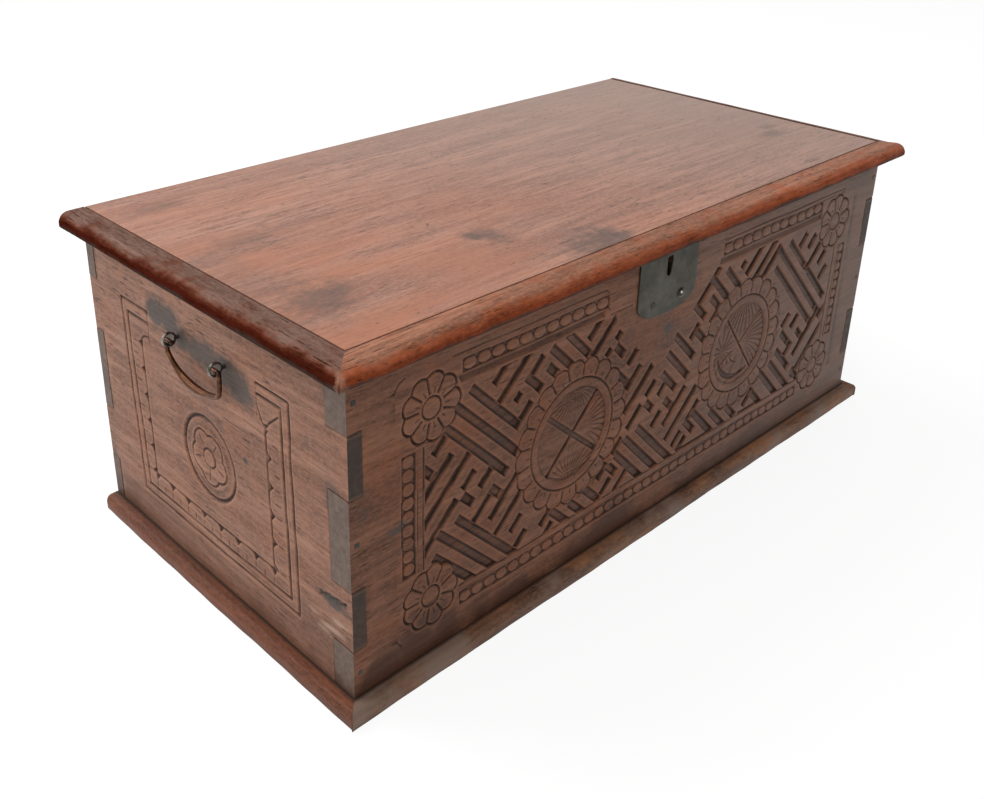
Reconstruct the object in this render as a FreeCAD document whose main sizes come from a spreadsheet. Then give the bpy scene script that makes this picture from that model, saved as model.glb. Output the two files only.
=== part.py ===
import FreeCAD, Part
import math
import os
import re
import Sketcher
from FreeCAD import Vector

# Carved wooden chest: a finger-jointed box on a base moulding, with a moulded lid, two hinges,
# an iron lock and a bail handle at each end. Millimetres. X runs along the length with the
# left end at -X, the carved front faces -Y, +Z is up, and the origin is on the ground under
# the middle of the box.

SIZES = {
    # Box: four boards, finger-jointed at the corners
    "body_length": 800, "body_depth": 406, "body_height": 325,
    "front_thick": 26, "back_thick": 14, "end_thick": 14,
    # Floor planks, let into a rebate round the bottom of the boards
    "floor_thick": 12, "floor_rebate": 7, "plank_gap": 0.4,
    # Base moulding nailed round the foot of the front and the ends
    "base_project": 15, "base_high": 17, "base_round": 7,
    # Lid: one plank with a mitred moulding at the front and the ends; it overhangs the right
    # end less than the left one
    "lid_thick": 16, "lid_overhang": 24, "right_overhang": 12, "moulding_wide": 28,
    "nose_round": 11, "nose_under": 3.5,
    # Square cut nails
    "nail_shank": 2.4, "nail_head": 5, "nail_head_thick": 1, "nail_length": 26,
    "tack_shank": 1.6, "tack_head": 6, "tack_head_thick": 1.4, "tack_length": 12,
    # Hinges on the back: two leaves with interleaved knuckles round a pin
    "hinge_wide": 60, "hinge_inset": 150, "leaf_thick": 2, "body_leaf_high": 36,
    "leaf_margin": 1.5, "knuckle_radius": 4, "knuckle_stand": 0.3, "knuckle_gap": 0.4,
    "hinge_pin_radius": 2, "hinge_pin_play": 0.05, "leaf_notch": 1,
    # Lock plate on the front, with its keyhole
    "plate_wide": 92, "plate_high": 60, "plate_thick": 1.6, "lobe_wide": 76, "lobe_drop": 17,
    "lock_shift": 8, "keyhole_drop": 16, "keyhole_high": 20, "keyhole_wide": 9, "keyhole_slot": 6.5,
    "plate_nail_side": 13, "plate_nail_top": 5, "plate_nail_low": 62, "plate_nail_apart": 44,
    # Lock case inside, its bolt, key post and the staple under the lid
    "case_wide": 84, "case_high": 47, "case_deep": 18, "case_wall": 1.8, "case_drop": 1.5,
    "ear_wide": 12, "ear_thick": 2.4, "bolt_long": 44, "bolt_high": 8, "bolt_thick": 4,
    "bolt_play": 0.3, "bolt_drop": 8.5, "bolt_travel": 8, "bolt_short": 1.5, "talon_wide": 7,
    "talon_deep": 3, "guide_wide": 5, "guide_wall": 2.2, "post_radius": 1.5, "post_long": 9,
    "strap_long": 46, "strap_wide": 15, "strap_thick": 2, "staple_bar": 3, "staple_clear": 1.1,
    "staple_shift": 22,
    # Handle eyes clinched through the ends, and the bails that hang in them
    "eye_apart": 75, "eye_drop": 60, "eye_bore": 4.6, "eye_wall": 2.6, "eye_wide": 4,
    "eye_stand": 2, "eye_shank": 4, "clinch_long": 16, "clinch_thick": 2,
    "bail_rod": 2.6, "bail_drop": 32, "bail_side": 2.2, "bail_hook": 4,
    "bail_corner": 6, "bail_knee": 15, "bail_tail": 3.5, "bail_lift": 0.3,
    # Carved front: the framed field and its key fret of crossing channels
    "field_side": 79, "field_drop": 54, "field_rise": 66, "fret_pitch": 9.65, "fret_deep": 3.5,
    "fret_left": 78.6, "fret_drop": 173.9, "plain_half": 76, "plain_deep": 145,
    # Carved front: medallions, corner rosettes and incised lines
    "medallion_apart": 276, "medallion_shift": 3, "medallion_drop": 162, "petal_reach": 76,
    "petal_round": 12.5, "ring_outer": 56, "ring_inner": 49, "hub_deep": 1.5, "cross_wide": 7.5,
    "cross_deep": 3, "line_wide": 1.8, "line_deep": 2, "rosette_side": 86, "rosette_drop": 63,
    "rosette_rise": 75, "rosette_reach": 31, "rosette_round": 11.5, "button_radius": 10.5,
    # Carved front: the sunk strips of the border
    "strip_high": 12.5, "strip_deep": 2, "side_strip": 54, "top_strip": 31, "low_strip": 58,
    "strip_clear": 3,
    # Carved ends: a double incised frame round a ringed flower
    "frame_inset": 70, "frame_drop": 58, "frame_rise": 55, "frame_line": 3, "frame_deep": 2,
    "frame_step": 10, "frame_break": 86, "flower_drop": 171, "flower_ring": 42, "flower_inner": 30,
    "flower_button": 9.3, "flower_line": 2.4,
    # Every cutting tool runs this far past the face that it opens
    "overrun": 2,
}

# Heights of the finger joint's edges, as shares of the box's height
FINGER_SHARES = (0.20, 0.385, 0.655, 0.834)

# The fret's channels, in steps of the fret's pitch on a lattice turned by 45 degrees.
# Rising channels: which falling line they lie on, then the first and last step along it
RISING_SHARES = (
    (7, 17, 19), (9, 13, 18), (9, 25, 28), (11, 10, 19), (11, 24, 30), (13, 8, 15), (13, 16, 18),
    (13, 25, 26), (13, 27, 30), (15, 17, 19), (15, 24, 26), (15, 27, 28), (17, 14, 17),
    (17, 28, 29), (19, 15, 20), (21, 14, 19), (23, 15, 17), (25, 14, 16), (27, 17, 19),
    (28.5, 15.5, 18), (18, 34, 37), (20, 33, 38), (22, 34, 35), (22, 36, 37), (24, 35, 36),
    (26, 35, 37), (28, 33, 36), (30, 31, 37), (32, 34, 36), (34, 35, 37), (32, 30, 33),
    (32, 27, 29), (32, 24, 26), (34, 23, 25), (36, 24, 27), (36, 32, 34), (38, 33, 38),
    (40, 32, 39), (42, 32, 34), (43.5, 32, 34), (42, 35, 38), (32, 45, 50), (34, 42, 44),
    (36, 45, 47), (36, 52, 53), (37.5, 52, 56), (39.5, 52, 58), (41, 53, 58), (45, 60, 62),
    (47, 61, 63), (49, 59, 63), (51, 61, 63), (53, 60, 62), (58, 57, 60), (57, 51, 58),
    (59.5, 49, 58), (55, 50, 52), (51, 52, 54), (53, 53, 55), (52, 41.5, 44),
)
# Falling channels: which rising line they lie on, then the first and last step along it
FALLING_SHARES = (
    (9, 15, 23), (11, 14, 25), (13, 15, 27), (15, 14, 16), (15, 7, 9), (17, 17, 19), (19, 7, 18),
    (21, 6, 18), (23, 7, 16), (27, 13, 16), (29, 15, 17), (30.5, 14, 19), (32.5, 15, 20),
    (35, 23, 25), (33, 26, 29), (33, 33, 35), (36.5, 33, 37), (38.5, 32, 38), (40.5, 31, 37),
    (28.6, 33, 42), (30.4, 34, 44), (26.7, 33, 41), (25.3, 33, 35), (22, 30, 35), (20, 30, 34),
    (18.3, 28, 32), (34.7, 36, 38), (44.5, 32, 35), (46.5, 34, 37), (48, 32, 39), (50, 34, 39),
    (42.7, 35, 38), (36, 43, 49), (37.6, 46, 51), (39.4, 49, 52), (43, 53, 57), (34.6, 42, 45),
    (57, 42, 57), (55.2, 43, 57), (58.8, 43, 49), (58.8, 50, 57), (49, 53, 58), (49.2, 59, 62),
    (47.3, 53, 61), (45.5, 52, 59), (51, 52, 55), (53, 55, 57),
)
# A channel is a little narrower than a step, so the bars between them are a little wider
CHANNEL_SHARE = 0.94
# Half of the plain lobed field under the lock, as shares of its half width and its depth
# below the lid: two bulging lobes, each as start, crown and end
PLAIN_LOBE_SHARES = (((1, 0.35), (0.93, 0.45), (0.68, 0.53)), ((0.68, 0.53), (0.53, 0.61), (0.49, 0.72)))
PLAIN_STEP_SHARE = (0.34, 0.73)
# Stations along the bail's grip: share of its length, and its radius as a share of the rod's
GRIP_SHARES = ((0, 1), (0.12, 1.25), (0.35, 1.6), (0.65, 1.6), (0.88, 1.25), (1, 1))
PETAL_COUNT = 20
ROSETTE_COUNT = 9
# Flats round a carved ring, a carved petal and the forged rod of a bail
RING_SIDES = 18
PETAL_SIDES = 7
ROD_SIDES = 8

doc = FreeCAD.newDocument("Chest")
sheet = doc.addObject("Spreadsheet::Sheet", "sizes")
for row, (alias, value) in enumerate(SIZES.items(), start=1):
    sheet.set(f"A{row}", alias)
    sheet.set(f"B{row}", str(value))
    sheet.setAlias(f"B{row}", alias)
doc.recompute()

nodes = {}


def size(alias):
    """A driving dimension, read from the sheet."""
    return float(sheet.get(alias))


def expression(text):
    """The text with each alias turned into a reference to its cell."""
    return re.sub(r"[a-z]\w*", lambda word: "sizes." + word[0] if word[0] in SIZES else word[0], text)


def bind(thing, **texts):
    """Bind properties of an object to expressions of the driving dimensions."""
    for name, text in texts.items():
        thing.setExpression(name, expression(text))
    return thing


def place(thing, at):
    """Bind an object's place to three expressions."""
    for axis, text in zip("xyz", at):
        thing.setExpression("Placement.Base." + axis, expression(text))
    return thing


def node(name, thing):
    """Keep an object as the sub-part of that name."""
    thing.Label = name
    nodes[name] = thing
    return thing


def box(name, lengths, at):
    """A block bound to the sheet: its three lengths, and its lowest corner."""
    block = doc.addObject("Part::Box", name)
    bind(block, Length=lengths[0], Width=lengths[1], Height=lengths[2])
    return place(block, at)


def rod(name, radius, length, at, along):
    """A cylinder bound to the sheet, from a point along an axis."""
    cylinder = doc.addObject("Part::Cylinder", name)
    cylinder.Placement = FreeCAD.Placement(Vector(), FreeCAD.Rotation(Vector(0, 0, 1), along))
    bind(cylinder, Radius=radius, Height=length)
    return place(cylinder, at)


def fuse(name, shapes):
    """Several overlapping or touching objects made one solid."""
    joined = doc.addObject("Part::MultiFuse", name)
    joined.Shapes = shapes
    joined.Refine = True
    return joined


def cut(name, base, tool):
    """One object with another cut out of it."""
    carved = doc.addObject("Part::Cut", name)
    carved.Base = base
    carved.Tool = tool
    return carved


def group(name, things):
    """Separate solids kept together, such as a set of fasteners."""
    together = doc.addObject("Part::Compound", name)
    together.Links = things
    return together


def feature(name, shape):
    """A shape worked out from the sheet's values."""
    made = doc.addObject("Part::Feature", name)
    made.Shape = shape
    return made


def new_body(name, at):
    """An empty body at a bound place."""
    body = doc.addObject("PartDesign::Body", name)
    return place(body, at)


def sketch_on(body, role, *polygons):
    """A sketch of closed polygons on one of the body's own planes; each corner is two texts."""
    plane = next(item for item in body.Origin.OriginFeatures if item.Role == role)
    sketch = body.newObject("Sketcher::SketchObject", body.Name + "_sketch")
    sketch.AttachmentSupport = [(plane, "")]
    sketch.MapMode = "FlatFace"
    for corners in polygons:
        add_polygon(sketch, corners)
    return sketch


def add_polygon(sketch, corners):
    """Lines from corner to corner, each corner held by its distances from the origin."""
    first, count = sketch.GeometryCount, len(corners)
    turns = [2 * math.pi * k / count for k in range(count)]
    loose = [Vector(math.cos(turn), math.sin(turn), 0) for turn in turns]
    for k in range(count):
        sketch.addGeometry(Part.LineSegment(loose[k], loose[(k + 1) % count]))
    for k in range(count):
        sketch.addConstraint(Sketcher.Constraint("Coincident", first + k, 2, first + (k + 1) % count, 1))
        for kind, axis, text in (("DistanceX", -2, corners[k][0]), ("DistanceY", -1, corners[k][1])):
            if text == "0":
                sketch.addConstraint(Sketcher.Constraint("PointOnObject", first + k, 1, axis))
                continue
            held = sketch.addConstraint(Sketcher.Constraint(kind, -1, 1, first + k, 1, 1.0))
            sketch.setExpression(f"Constraints[{held}]", expression(text))


def rectangle(left, low, right, high):
    """The four corners of an upright rectangle in a sketch."""
    return ((left, low), (right, low), (right, high), (left, high))


def pad(body, sketch, length, reverse=False):
    """A sketch raised to a thickness."""
    raised = body.newObject("PartDesign::Pad", body.Name + "_pad")
    raised.Profile = sketch
    raised.Reversed = reverse
    bind(raised, Length=length)
    doc.recompute()
    return raised


def pocket_through(body, sketch):
    """A sketch cut right through the body, both ways from its plane."""
    opened = body.newObject("PartDesign::Pocket", body.Name + "_pocket")
    opened.Profile = sketch
    opened.Type = "ThroughAll"
    opened.Midplane = True
    before = opened.BaseFeature.Shape.Volume
    doc.recompute()
    if not opened.Shape.Volume < before:
        raise ValueError(body.Name + ": a pocket cuts nothing")
    return opened


def round_edges(body, base, picked, radius):
    """Round the edges of a feature whose two ends both pass a test."""
    edges = [f"Edge{k}" for k, edge in enumerate(base.Shape.Edges, start=1)
             if all(picked(vertex.Point) for vertex in edge.Vertexes)]
    rounded = body.newObject("PartDesign::Fillet", body.Name + "_fillet")
    rounded.Base = (base, edges)
    bind(rounded, Radius=radius)
    doc.recompute()
    return rounded


def near(value, target):
    """Whether a coordinate lies at a place, within the modeller's tolerance."""
    return abs(value - target) < Part.Precision.confusion() * 1000


# Useful places, as texts in the sheet's names
LEFT, FRONT = "-body_length / 2", "-body_depth / 2"
RIGHT, BACK = "body_length / 2", "body_depth / 2"
LOCK_X = "-lock_shift"
fingers = [f"body_height * {share}" for share in FINGER_SHARES]

# Square nails, each a head let in flush and a shank behind it


def nail(at, inward, shank, head, head_thick, length):
    """One nail with its head's face at a point, driven along a direction."""
    parts = []
    for wide, start, end in ((head, 0, head_thick), (shank, 0, length)):
        blank = Part.makeBox(wide, wide, end - start, Vector(-wide / 2, -wide / 2, start))
        parts.append(blank)
    solid = parts[0].fuse(parts[1]).removeSplitter()
    solid.Placement = FreeCAD.Placement(at, FreeCAD.Rotation(Vector(0, 0, 1), inward))
    return solid


def nail_group(points, inward, length):
    """Cut nails at a list of points, as one group."""
    kinds = (size("nail_shank"), size("nail_head"), size("nail_head_thick"), length)
    return [nail(point, inward, *kinds) for point in points]


def spread(count, low, high):
    """Even places between two ends, each half a step in from its end."""
    step = (high - low) / count
    return [low + step * (k + 0.5) for k in range(count)]


half_length, half_depth = size("body_length") / 2, size("body_depth") / 2
nail_length = size("nail_length")

# Corner nails: one through each front and back finger into the end board behind it


def corner_nails():
    """Nails driven in from the front and the back faces, in line with each end board."""
    bounds = (0.0,) + FINGER_SHARES + (1.0,)
    heights = [size("body_height") * (bounds[k] + bounds[k + 1]) / 2 for k in (2, 4)]
    heights.insert(0, (size("base_high") + size("body_height") * FINGER_SHARES[0]) / 2)
    reach_front = size("front_thick") + size("nail_length") / 2
    reach_back = size("back_thick") + size("nail_length") / 2
    nails = []
    for side in (-1, 1):
        x = side * (half_length - size("end_thick") / 2)
        front = [Vector(x, -half_depth, z) for z in heights]
        back = [Vector(x, half_depth, z) for z in heights]
        nails += nail_group(front, Vector(0, 1, 0), reach_front)
        nails += nail_group(back, Vector(0, -1, 0), reach_back)
    return Part.makeCompound(nails)


corner_nail_set = node("corner_nails", feature("corner_nails", corner_nails()))

# Floor nails: driven up through the planks into the ends


def plank_edges():
    """The front and back edges of the three floor planks."""
    low = -half_depth + size("front_thick") - size("floor_rebate")
    high = half_depth - size("back_thick") + size("floor_rebate")
    step = (high - low) / 3
    return [(low + k * step, low + (k + 1) * step) for k in range(3)]


def floor_nails():
    """A nail at each end of each plank, into the end boards above the rebate."""
    x_in = half_length - size("end_thick") + size("floor_rebate") / 2
    nails = []
    for low, high in plank_edges():
        spots = [Vector(side * x_in, (low + high) / 2, 0) for side in (-1, 1)]
        nails += nail_group(spots, Vector(0, 0, 1), nail_length)
    return Part.makeCompound(nails)


floor_nail_set = node("floor_nails", feature("floor_nails", floor_nails()))

# Base moulding nails: along the front and the two ends


def base_nails():
    """Nails through the middle of the base moulding's height into the boards."""
    z = size("base_high") / 2 - size("nail_head") / 4
    outer_x, outer_y = half_length + size("base_project"), half_depth + size("base_project")
    front = [Vector(x, -outer_y, z) for x in spread(4, -half_length, half_length)]
    nails = nail_group(front, Vector(0, 1, 0), nail_length)
    for side in (-1, 1):
        ends = [Vector(side * outer_x, y, z) for y in spread(2, -half_depth, half_depth)]
        nails += nail_group(ends, Vector(-side, 0, 0), nail_length)
    return Part.makeCompound(nails)


base_nail_set = node("base_moulding_nails", feature("base_moulding_nails", base_nails()))

# The four boards, each a padded rectangle with its finger notches cut at the ends

FLOOR_LEFT = "-body_length / 2 + end_thick - floor_rebate"
FLOOR_FRONT = "-body_depth / 2 + front_thick - floor_rebate"
FLOOR_LONG = "body_length - 2 * end_thick + 2 * floor_rebate"
FLOOR_WIDE = "body_depth - front_thick - back_thick + 2 * floor_rebate"
floor_recess = box("floor_recess", (FLOOR_LONG, FLOOR_WIDE, "floor_thick + overrun"),
                   (FLOOR_LEFT, FLOOR_FRONT, "-overrun"))


def long_board(name, thick, at_y):
    """A front or back board: full length, notched for the end boards' two fingers."""
    body = new_body(name, (LEFT, at_y, "0"))
    pad(body, sketch_on(body, "XZ_Plane", rectangle("0", "0", "body_length", "body_height")), thick, True)
    notches = []
    for low, high in ((fingers[0], fingers[1]), (fingers[2], fingers[3])):
        notches.append(rectangle("0", low, "end_thick", high))
        notches.append(rectangle("body_length - end_thick", low, "body_length", high))
    pocket_through(body, sketch_on(body, "XZ_Plane", *notches))
    return body


def end_board(name, at_x):
    """An end board: full depth, notched for the long boards' three fingers."""
    body = new_body(name, (at_x, FRONT, "0"))
    pad(body, sketch_on(body, "YZ_Plane", rectangle("0", "0", "body_depth", "body_height")), "end_thick")
    notches = []
    for low, high in (("0", fingers[0]), (fingers[1], fingers[2]), (fingers[3], "body_height")):
        notches.append(rectangle("0", low, "front_thick", high))
        notches.append(rectangle("body_depth - back_thick", low, "body_depth", high))
    pocket_through(body, sketch_on(body, "YZ_Plane", *notches))
    return body


front_blank = long_board("front_blank", "front_thick", FRONT)
back_blank = long_board("back_blank", "back_thick", "body_depth / 2 - back_thick")
left_blank = end_board("left_blank", LEFT)
right_blank = end_board("right_blank", "body_length / 2 - end_thick")

# Carving tools for a face seen from its front: across, up and into the wood. A tool starts
# outside the face by the overrun and reaches a depth behind it


def sunk(face, depth):
    """A flat face, drawn across and up at the front of the board, pushed into it by a depth."""
    start = Vector(0, -size("overrun"), 0)
    return face.translated(start).extrude(Vector(0, size("overrun") + depth, 0))


def flat_polygon(points):
    """A face from corners given as (across, up)."""
    corners = [Vector(x, 0, z) for x, z in points]
    return Part.Face(Part.makePolygon(corners + corners[:1]))


def flat_disc(x, z, radius, sides=RING_SIDES, turn=0.0):
    """A round face as a knife cuts it, in short flats, the first corner at an angle."""
    angles = [turn + 2 * math.pi * k / sides for k in range(sides)]
    return flat_polygon([(x + radius * math.cos(a), z + radius * math.sin(a)) for a in angles])


def flat_bar(x, z, wide, high):
    """A rectangular face from its lower left corner."""
    return flat_polygon(((x, z), (x + wide, z), (x + wide, z + high), (x, z + high)))


def petalled(x, z, reach, bulge, count):
    """A flower outline: a disc with round petals all round it, reaching a radius."""
    ring = reach - bulge
    petals = []
    for k in range(count):
        angle = 2 * math.pi * k / count
        middle = x + ring * math.cos(angle), z + ring * math.sin(angle)
        petals.append(flat_disc(*middle, bulge, PETAL_SIDES, angle))
    return flat_disc(x, z, ring + bulge / 2).fuse(petals).removeSplitter()


def moat(x, z, reach, bulge, count):
    """The incised line round a flower, on the flower's outside."""
    wide = size("line_wide")
    outer = petalled(x, z, reach + wide, bulge + wide, count)
    return outer.cut(petalled(x, z, reach, bulge, count))


def ring_line(x, z, radius, wide):
    """A round incised line from a radius outwards."""
    return flat_disc(x, z, radius + wide).cut(flat_disc(x, z, radius))


top = size("body_height")
line_deep = size("line_deep")


def lattice_point(falling, rising):
    """A point of the fret's lattice, as (across, up)."""
    pitch = size("fret_pitch")
    down, rise = falling * pitch, rising * pitch
    x = -half_length - size("fret_left") + (down + rise) / math.sqrt(2)
    return x, top - size("fret_drop") - (down - rise) / math.sqrt(2)


def channel(line, first, last, rising):
    """One straight channel of the fret, one step wide."""
    slack = (1 - CHANNEL_SHARE) / 2
    near_side, far_side = line + slack, line + 1 - slack
    corners = ((near_side, first), (far_side, first), (far_side, last), (near_side, last))
    if not rising:
        corners = [(b, a) for a, b in corners]
    return flat_polygon([lattice_point(a, b) for a, b in corners])


def medallion_centres():
    """The centres of the two medallions, as (across, up)."""
    z = top - size("medallion_drop")
    return [(size("medallion_shift") + side * size("medallion_apart") / 2, z) for side in (-1, 1)]


def rosette_centres():
    """The centres of the four corner rosettes."""
    x = half_length - size("rosette_side")
    return [(side * x, z) for side in (-1, 1) for z in (top - size("rosette_drop"), size("rosette_rise"))]


def plain_field():
    """The uncut lobed field that hangs from the lid under the lock."""
    half, deep, shift = size("plain_half"), size("plain_deep"), -size("lock_shift")
    spots = [[Vector(share[0] * half, 0, -share[1] * deep) for share in lobe] for lobe in PLAIN_LOBE_SHARES]
    step = Vector(PLAIN_STEP_SHARE[0] * half, 0, -PLAIN_STEP_SHARE[1] * deep)
    tip, head = Vector(0, 0, -deep), Vector(half, 0, 0)
    edges = [Part.makeLine(Vector(), head), Part.makeLine(head, spots[0][0])]
    edges += [Part.Arc(*lobe).toShape() for lobe in spots]
    edges += [Part.makeLine(spots[1][2], step), Part.makeLine(step, tip), Part.makeLine(tip, Vector())]
    right = Part.Face(Part.Wire(edges))
    left = right.mirror(Vector(), Vector(1, 0, 0))
    whole = right.fuse(left).removeSplitter()
    return whole.translated(Vector(shift, 0, top))


def fret():
    """The key fret: all channels joined, kept inside the field and off the flowers."""
    channels = [channel(*entry, True) for entry in RISING_SHARES]
    channels += [channel(*entry, False) for entry in FALLING_SHARES]
    across = 2 * (half_length - size("field_side"))
    up = top - size("field_drop") - size("field_rise")
    field = flat_bar(-across / 2, size("field_rise"), across, up)
    kept_clear = [plain_field()]
    for x, z in medallion_centres():
        kept_clear.append(petalled(x, z, size("petal_reach"), size("petal_round"), PETAL_COUNT))
    for x, z in rosette_centres():
        kept_clear.append(petalled(x, z, size("rosette_reach"), size("rosette_round"), ROSETTE_COUNT))
    ground = field.cut(kept_clear)
    return channels[0].fuse(channels[1:]).removeSplitter().common(ground)


def medallion(x, z):
    """A ringed medallion: petals outside, a raised ring, and a sunk hub under a cross."""
    solids = [sunk(moat(x, z, size("petal_reach"), size("petal_round"), PETAL_COUNT), line_deep)]
    solids.append(sunk(ring_line(x, z, size("ring_outer"), size("line_wide")), line_deep))
    hub = flat_disc(x, z, size("ring_inner"))
    solids.append(sunk(hub, size("hub_deep")))
    long, wide = 2 * size("ring_inner"), size("cross_wide")
    bar = flat_bar(-long / 2, -wide / 2, long, wide)
    for angle in (45, -45):
        arm = bar.copy()
        arm.rotate(Vector(), Vector(0, 1, 0), angle)
        solids.append(sunk(arm.translated(Vector(x, 0, z)).common(hub), size("cross_deep")))
    return solids


def rosette(x, z):
    """A corner flower round a button."""
    outline = moat(x, z, size("rosette_reach"), size("rosette_round"), ROSETTE_COUNT)
    button = ring_line(x, z, size("button_radius"), size("line_wide"))
    return [sunk(outline, line_deep), sunk(button, line_deep)]


def border():
    """The sunk strips along the sides, the top and the bottom of the carved field."""
    thick = size("strip_high")
    reach = size("rosette_reach") + size("strip_clear")
    flower_x = half_length - size("rosette_side")
    low_z, high_z = size("rosette_rise") + reach, top - size("rosette_drop") - reach
    across = flower_x - reach
    strips = [(side * (half_length - size("side_strip")) - (thick if side > 0 else 0), low_z, thick,
               high_z - low_z) for side in (-1, 1)]
    strips.append((-across, size("low_strip") - thick, 2 * across, thick))
    top_z = top - size("top_strip") - thick
    plain = size("plain_half") + size("lock_shift") + size("strip_clear")
    strips += [(-across, top_z, across - plain, thick), (plain, top_z, across - plain, thick)]
    return [sunk(flat_bar(*strip), size("strip_deep")) for strip in strips]


def front_carving():
    """All of the front's carving as one tool, in the board's place."""
    solids = [sunk(fret(), size("fret_deep"))] + border()
    for x, z in medallion_centres():
        solids += medallion(x, z)
    for x, z in rosette_centres():
        solids += rosette(x, z)
    joined = solids[0].fuse(solids[1:])
    return joined.translated(Vector(0, -half_depth, 0))


front_carving_tool = feature("front_carving", front_carving())

# Keyhole through the lock plate and the front board: a round head over a narrower slot

KEYHOLE_Z = "body_height - keyhole_drop - keyhole_wide / 2"
KEYHOLE_Y = "-body_depth / 2 - plate_thick - overrun"
keyhole_head = rod("keyhole_head", "keyhole_wide / 2", "front_thick + plate_thick + 2 * overrun",
                   (LOCK_X, KEYHOLE_Y, KEYHOLE_Z), Vector(0, 1, 0))
keyhole_slot = box("keyhole_slot", ("keyhole_slot", "front_thick + plate_thick + 2 * overrun",
                                    "keyhole_high - keyhole_wide / 2"),
                   (LOCK_X + " - keyhole_slot / 2", KEYHOLE_Y, "body_height - keyhole_drop - keyhole_high"))
keyhole = fuse("keyhole", [keyhole_head, keyhole_slot])

# Lock plate: an iron sheet with a rounded lobe below, held by four nails

lobe_radius = "(lobe_wide * lobe_wide / 4 + lobe_drop * lobe_drop) / (2 * lobe_drop)"
PLATE_Y = "-body_depth / 2 - plate_thick"
plate_sheet = box("plate_sheet", ("plate_wide", "plate_thick", "plate_high"),
                  (LOCK_X + " - plate_wide / 2", PLATE_Y, "body_height - plate_high"))
lobe_disc = rod("lobe_disc", lobe_radius, "plate_thick",
                (LOCK_X, PLATE_Y, "body_height - plate_high - lobe_drop + " + lobe_radius), Vector(0, 1, 0))
lobe_column = box("lobe_column", ("lobe_wide", "plate_thick", "2 * lobe_drop"),
                  (LOCK_X + " - lobe_wide / 2", PLATE_Y, "body_height - plate_high - lobe_drop"))
plate_lobe = doc.addObject("Part::Common", "plate_lobe")
plate_lobe.Base, plate_lobe.Tool = lobe_disc, lobe_column
plate_blank = fuse("plate_blank", [plate_sheet, plate_lobe])


def plate_nails():
    """Two nails at the plate's top corners and two low down, heads proud of the plate."""
    y = -half_depth - size("plate_thick") - size("tack_head_thick")
    shift, high = -size("lock_shift"), top - size("plate_nail_top")
    across = size("plate_wide") / 2 - size("plate_nail_side")
    low = top - size("plate_nail_low")
    spots = [(shift - across, high), (shift + across, high)]
    spots += [(shift + side * size("plate_nail_apart") / 2, low) for side in (-1, 1)]
    sizes = (size("tack_shank"), size("tack_head"), size("tack_head_thick"), size("tack_length"))
    return Part.makeCompound([nail(Vector(x, y, z), Vector(0, 1, 0), *sizes) for x, z in spots])


plate_nail_set = node("lock_plate_nails", feature("lock_plate_nails", plate_nails()))
plate_with_keyhole = cut("plate_with_keyhole", plate_blank, keyhole)
node("lock_plate", cut("lock_plate", plate_with_keyhole, plate_nail_set))

# Front board: the blank with its floor rebate, carving, keyhole and nail holes


def case_nails():
    """Two nails in each ear of the lock case, into the front board."""
    y = -half_depth + size("front_thick") + size("ear_thick") + size("tack_head_thick")
    shift = -size("lock_shift")
    x_out = size("case_wide") / 2 + size("ear_wide") / 2
    middle = top - size("case_drop") - size("case_high") / 2
    sizes = (size("tack_shank"), size("tack_head"), size("tack_head_thick"), size("tack_length"))
    spots = [(shift + a * x_out, middle + b * size("case_high") / 4) for a in (-1, 1) for b in (-1, 1)]
    return Part.makeCompound([nail(Vector(x, y, z), Vector(0, -1, 0), *sizes) for x, z in spots])


case_nail_set = node("lock_case_nails", feature("lock_case_nails", case_nails()))
front_tools = [floor_recess, keyhole, corner_nail_set, base_nail_set, plate_nail_set, case_nail_set,
               front_carving_tool]


def worked(name, blank, tools):
    """A blank with a row of tools cut out of it, one after another."""
    made = blank
    for k, tool in enumerate(tools):
        made = cut(f"{name}_cut_{k}", made, tool)
    return node(name, made)


worked("front_board", front_blank, front_tools)

# Ends: boards with the floor rebate, incised frame, flower and holes for the handle eyes


def end_frame():
    """The double frame's grooves on an end, seen with the front edge to the left or right."""
    line, deep = size("frame_line"), size("frame_deep")
    bars = []
    for step in (0, size("frame_step")):
        side = half_depth - size("frame_inset") - step
        low, high = size("frame_rise") + step, top - size("frame_drop") - step
        bars.append(flat_bar(-side, low, 2 * side, line))
        bars.append(flat_bar(-side, low, line, high - low))
        bars.append(flat_bar(side - line, low, line, high - low))
        short = side - size("frame_break")
        bars.append(flat_bar(-side, high - line, short, line))
        bars.append(flat_bar(side - short, high - line, short, line))
    return [sunk(bars[0].fuse(bars[1:]).removeSplitter(), deep)]


def end_carving(side):
    """Frame and ringed flower as one tool on the left (-1) or right (1) end."""
    wide, z = size("flower_line"), top - size("flower_drop")
    solids = end_frame()
    for radius in (size("flower_ring"), size("flower_inner"), size("flower_button")):
        solids.append(sunk(ring_line(0, z, radius - wide, wide), size("frame_deep")))
    joined = Part.makeCompound(solids)
    joined.rotate(Vector(), Vector(0, 0, 1), side * 90)
    return joined.translated(Vector(side * half_length, 0, 0))


left_carving = feature("left_carving", end_carving(-1))
right_carving = feature("right_carving", end_carving(1))

# Handle eyes: iron split pins, each a ring outside, a shank through the end and two tails
# clinched flat inside

EYE_Z = "body_height - eye_drop"
EYE_OUT = "eye_stand + eye_bore + eye_wall"


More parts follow.
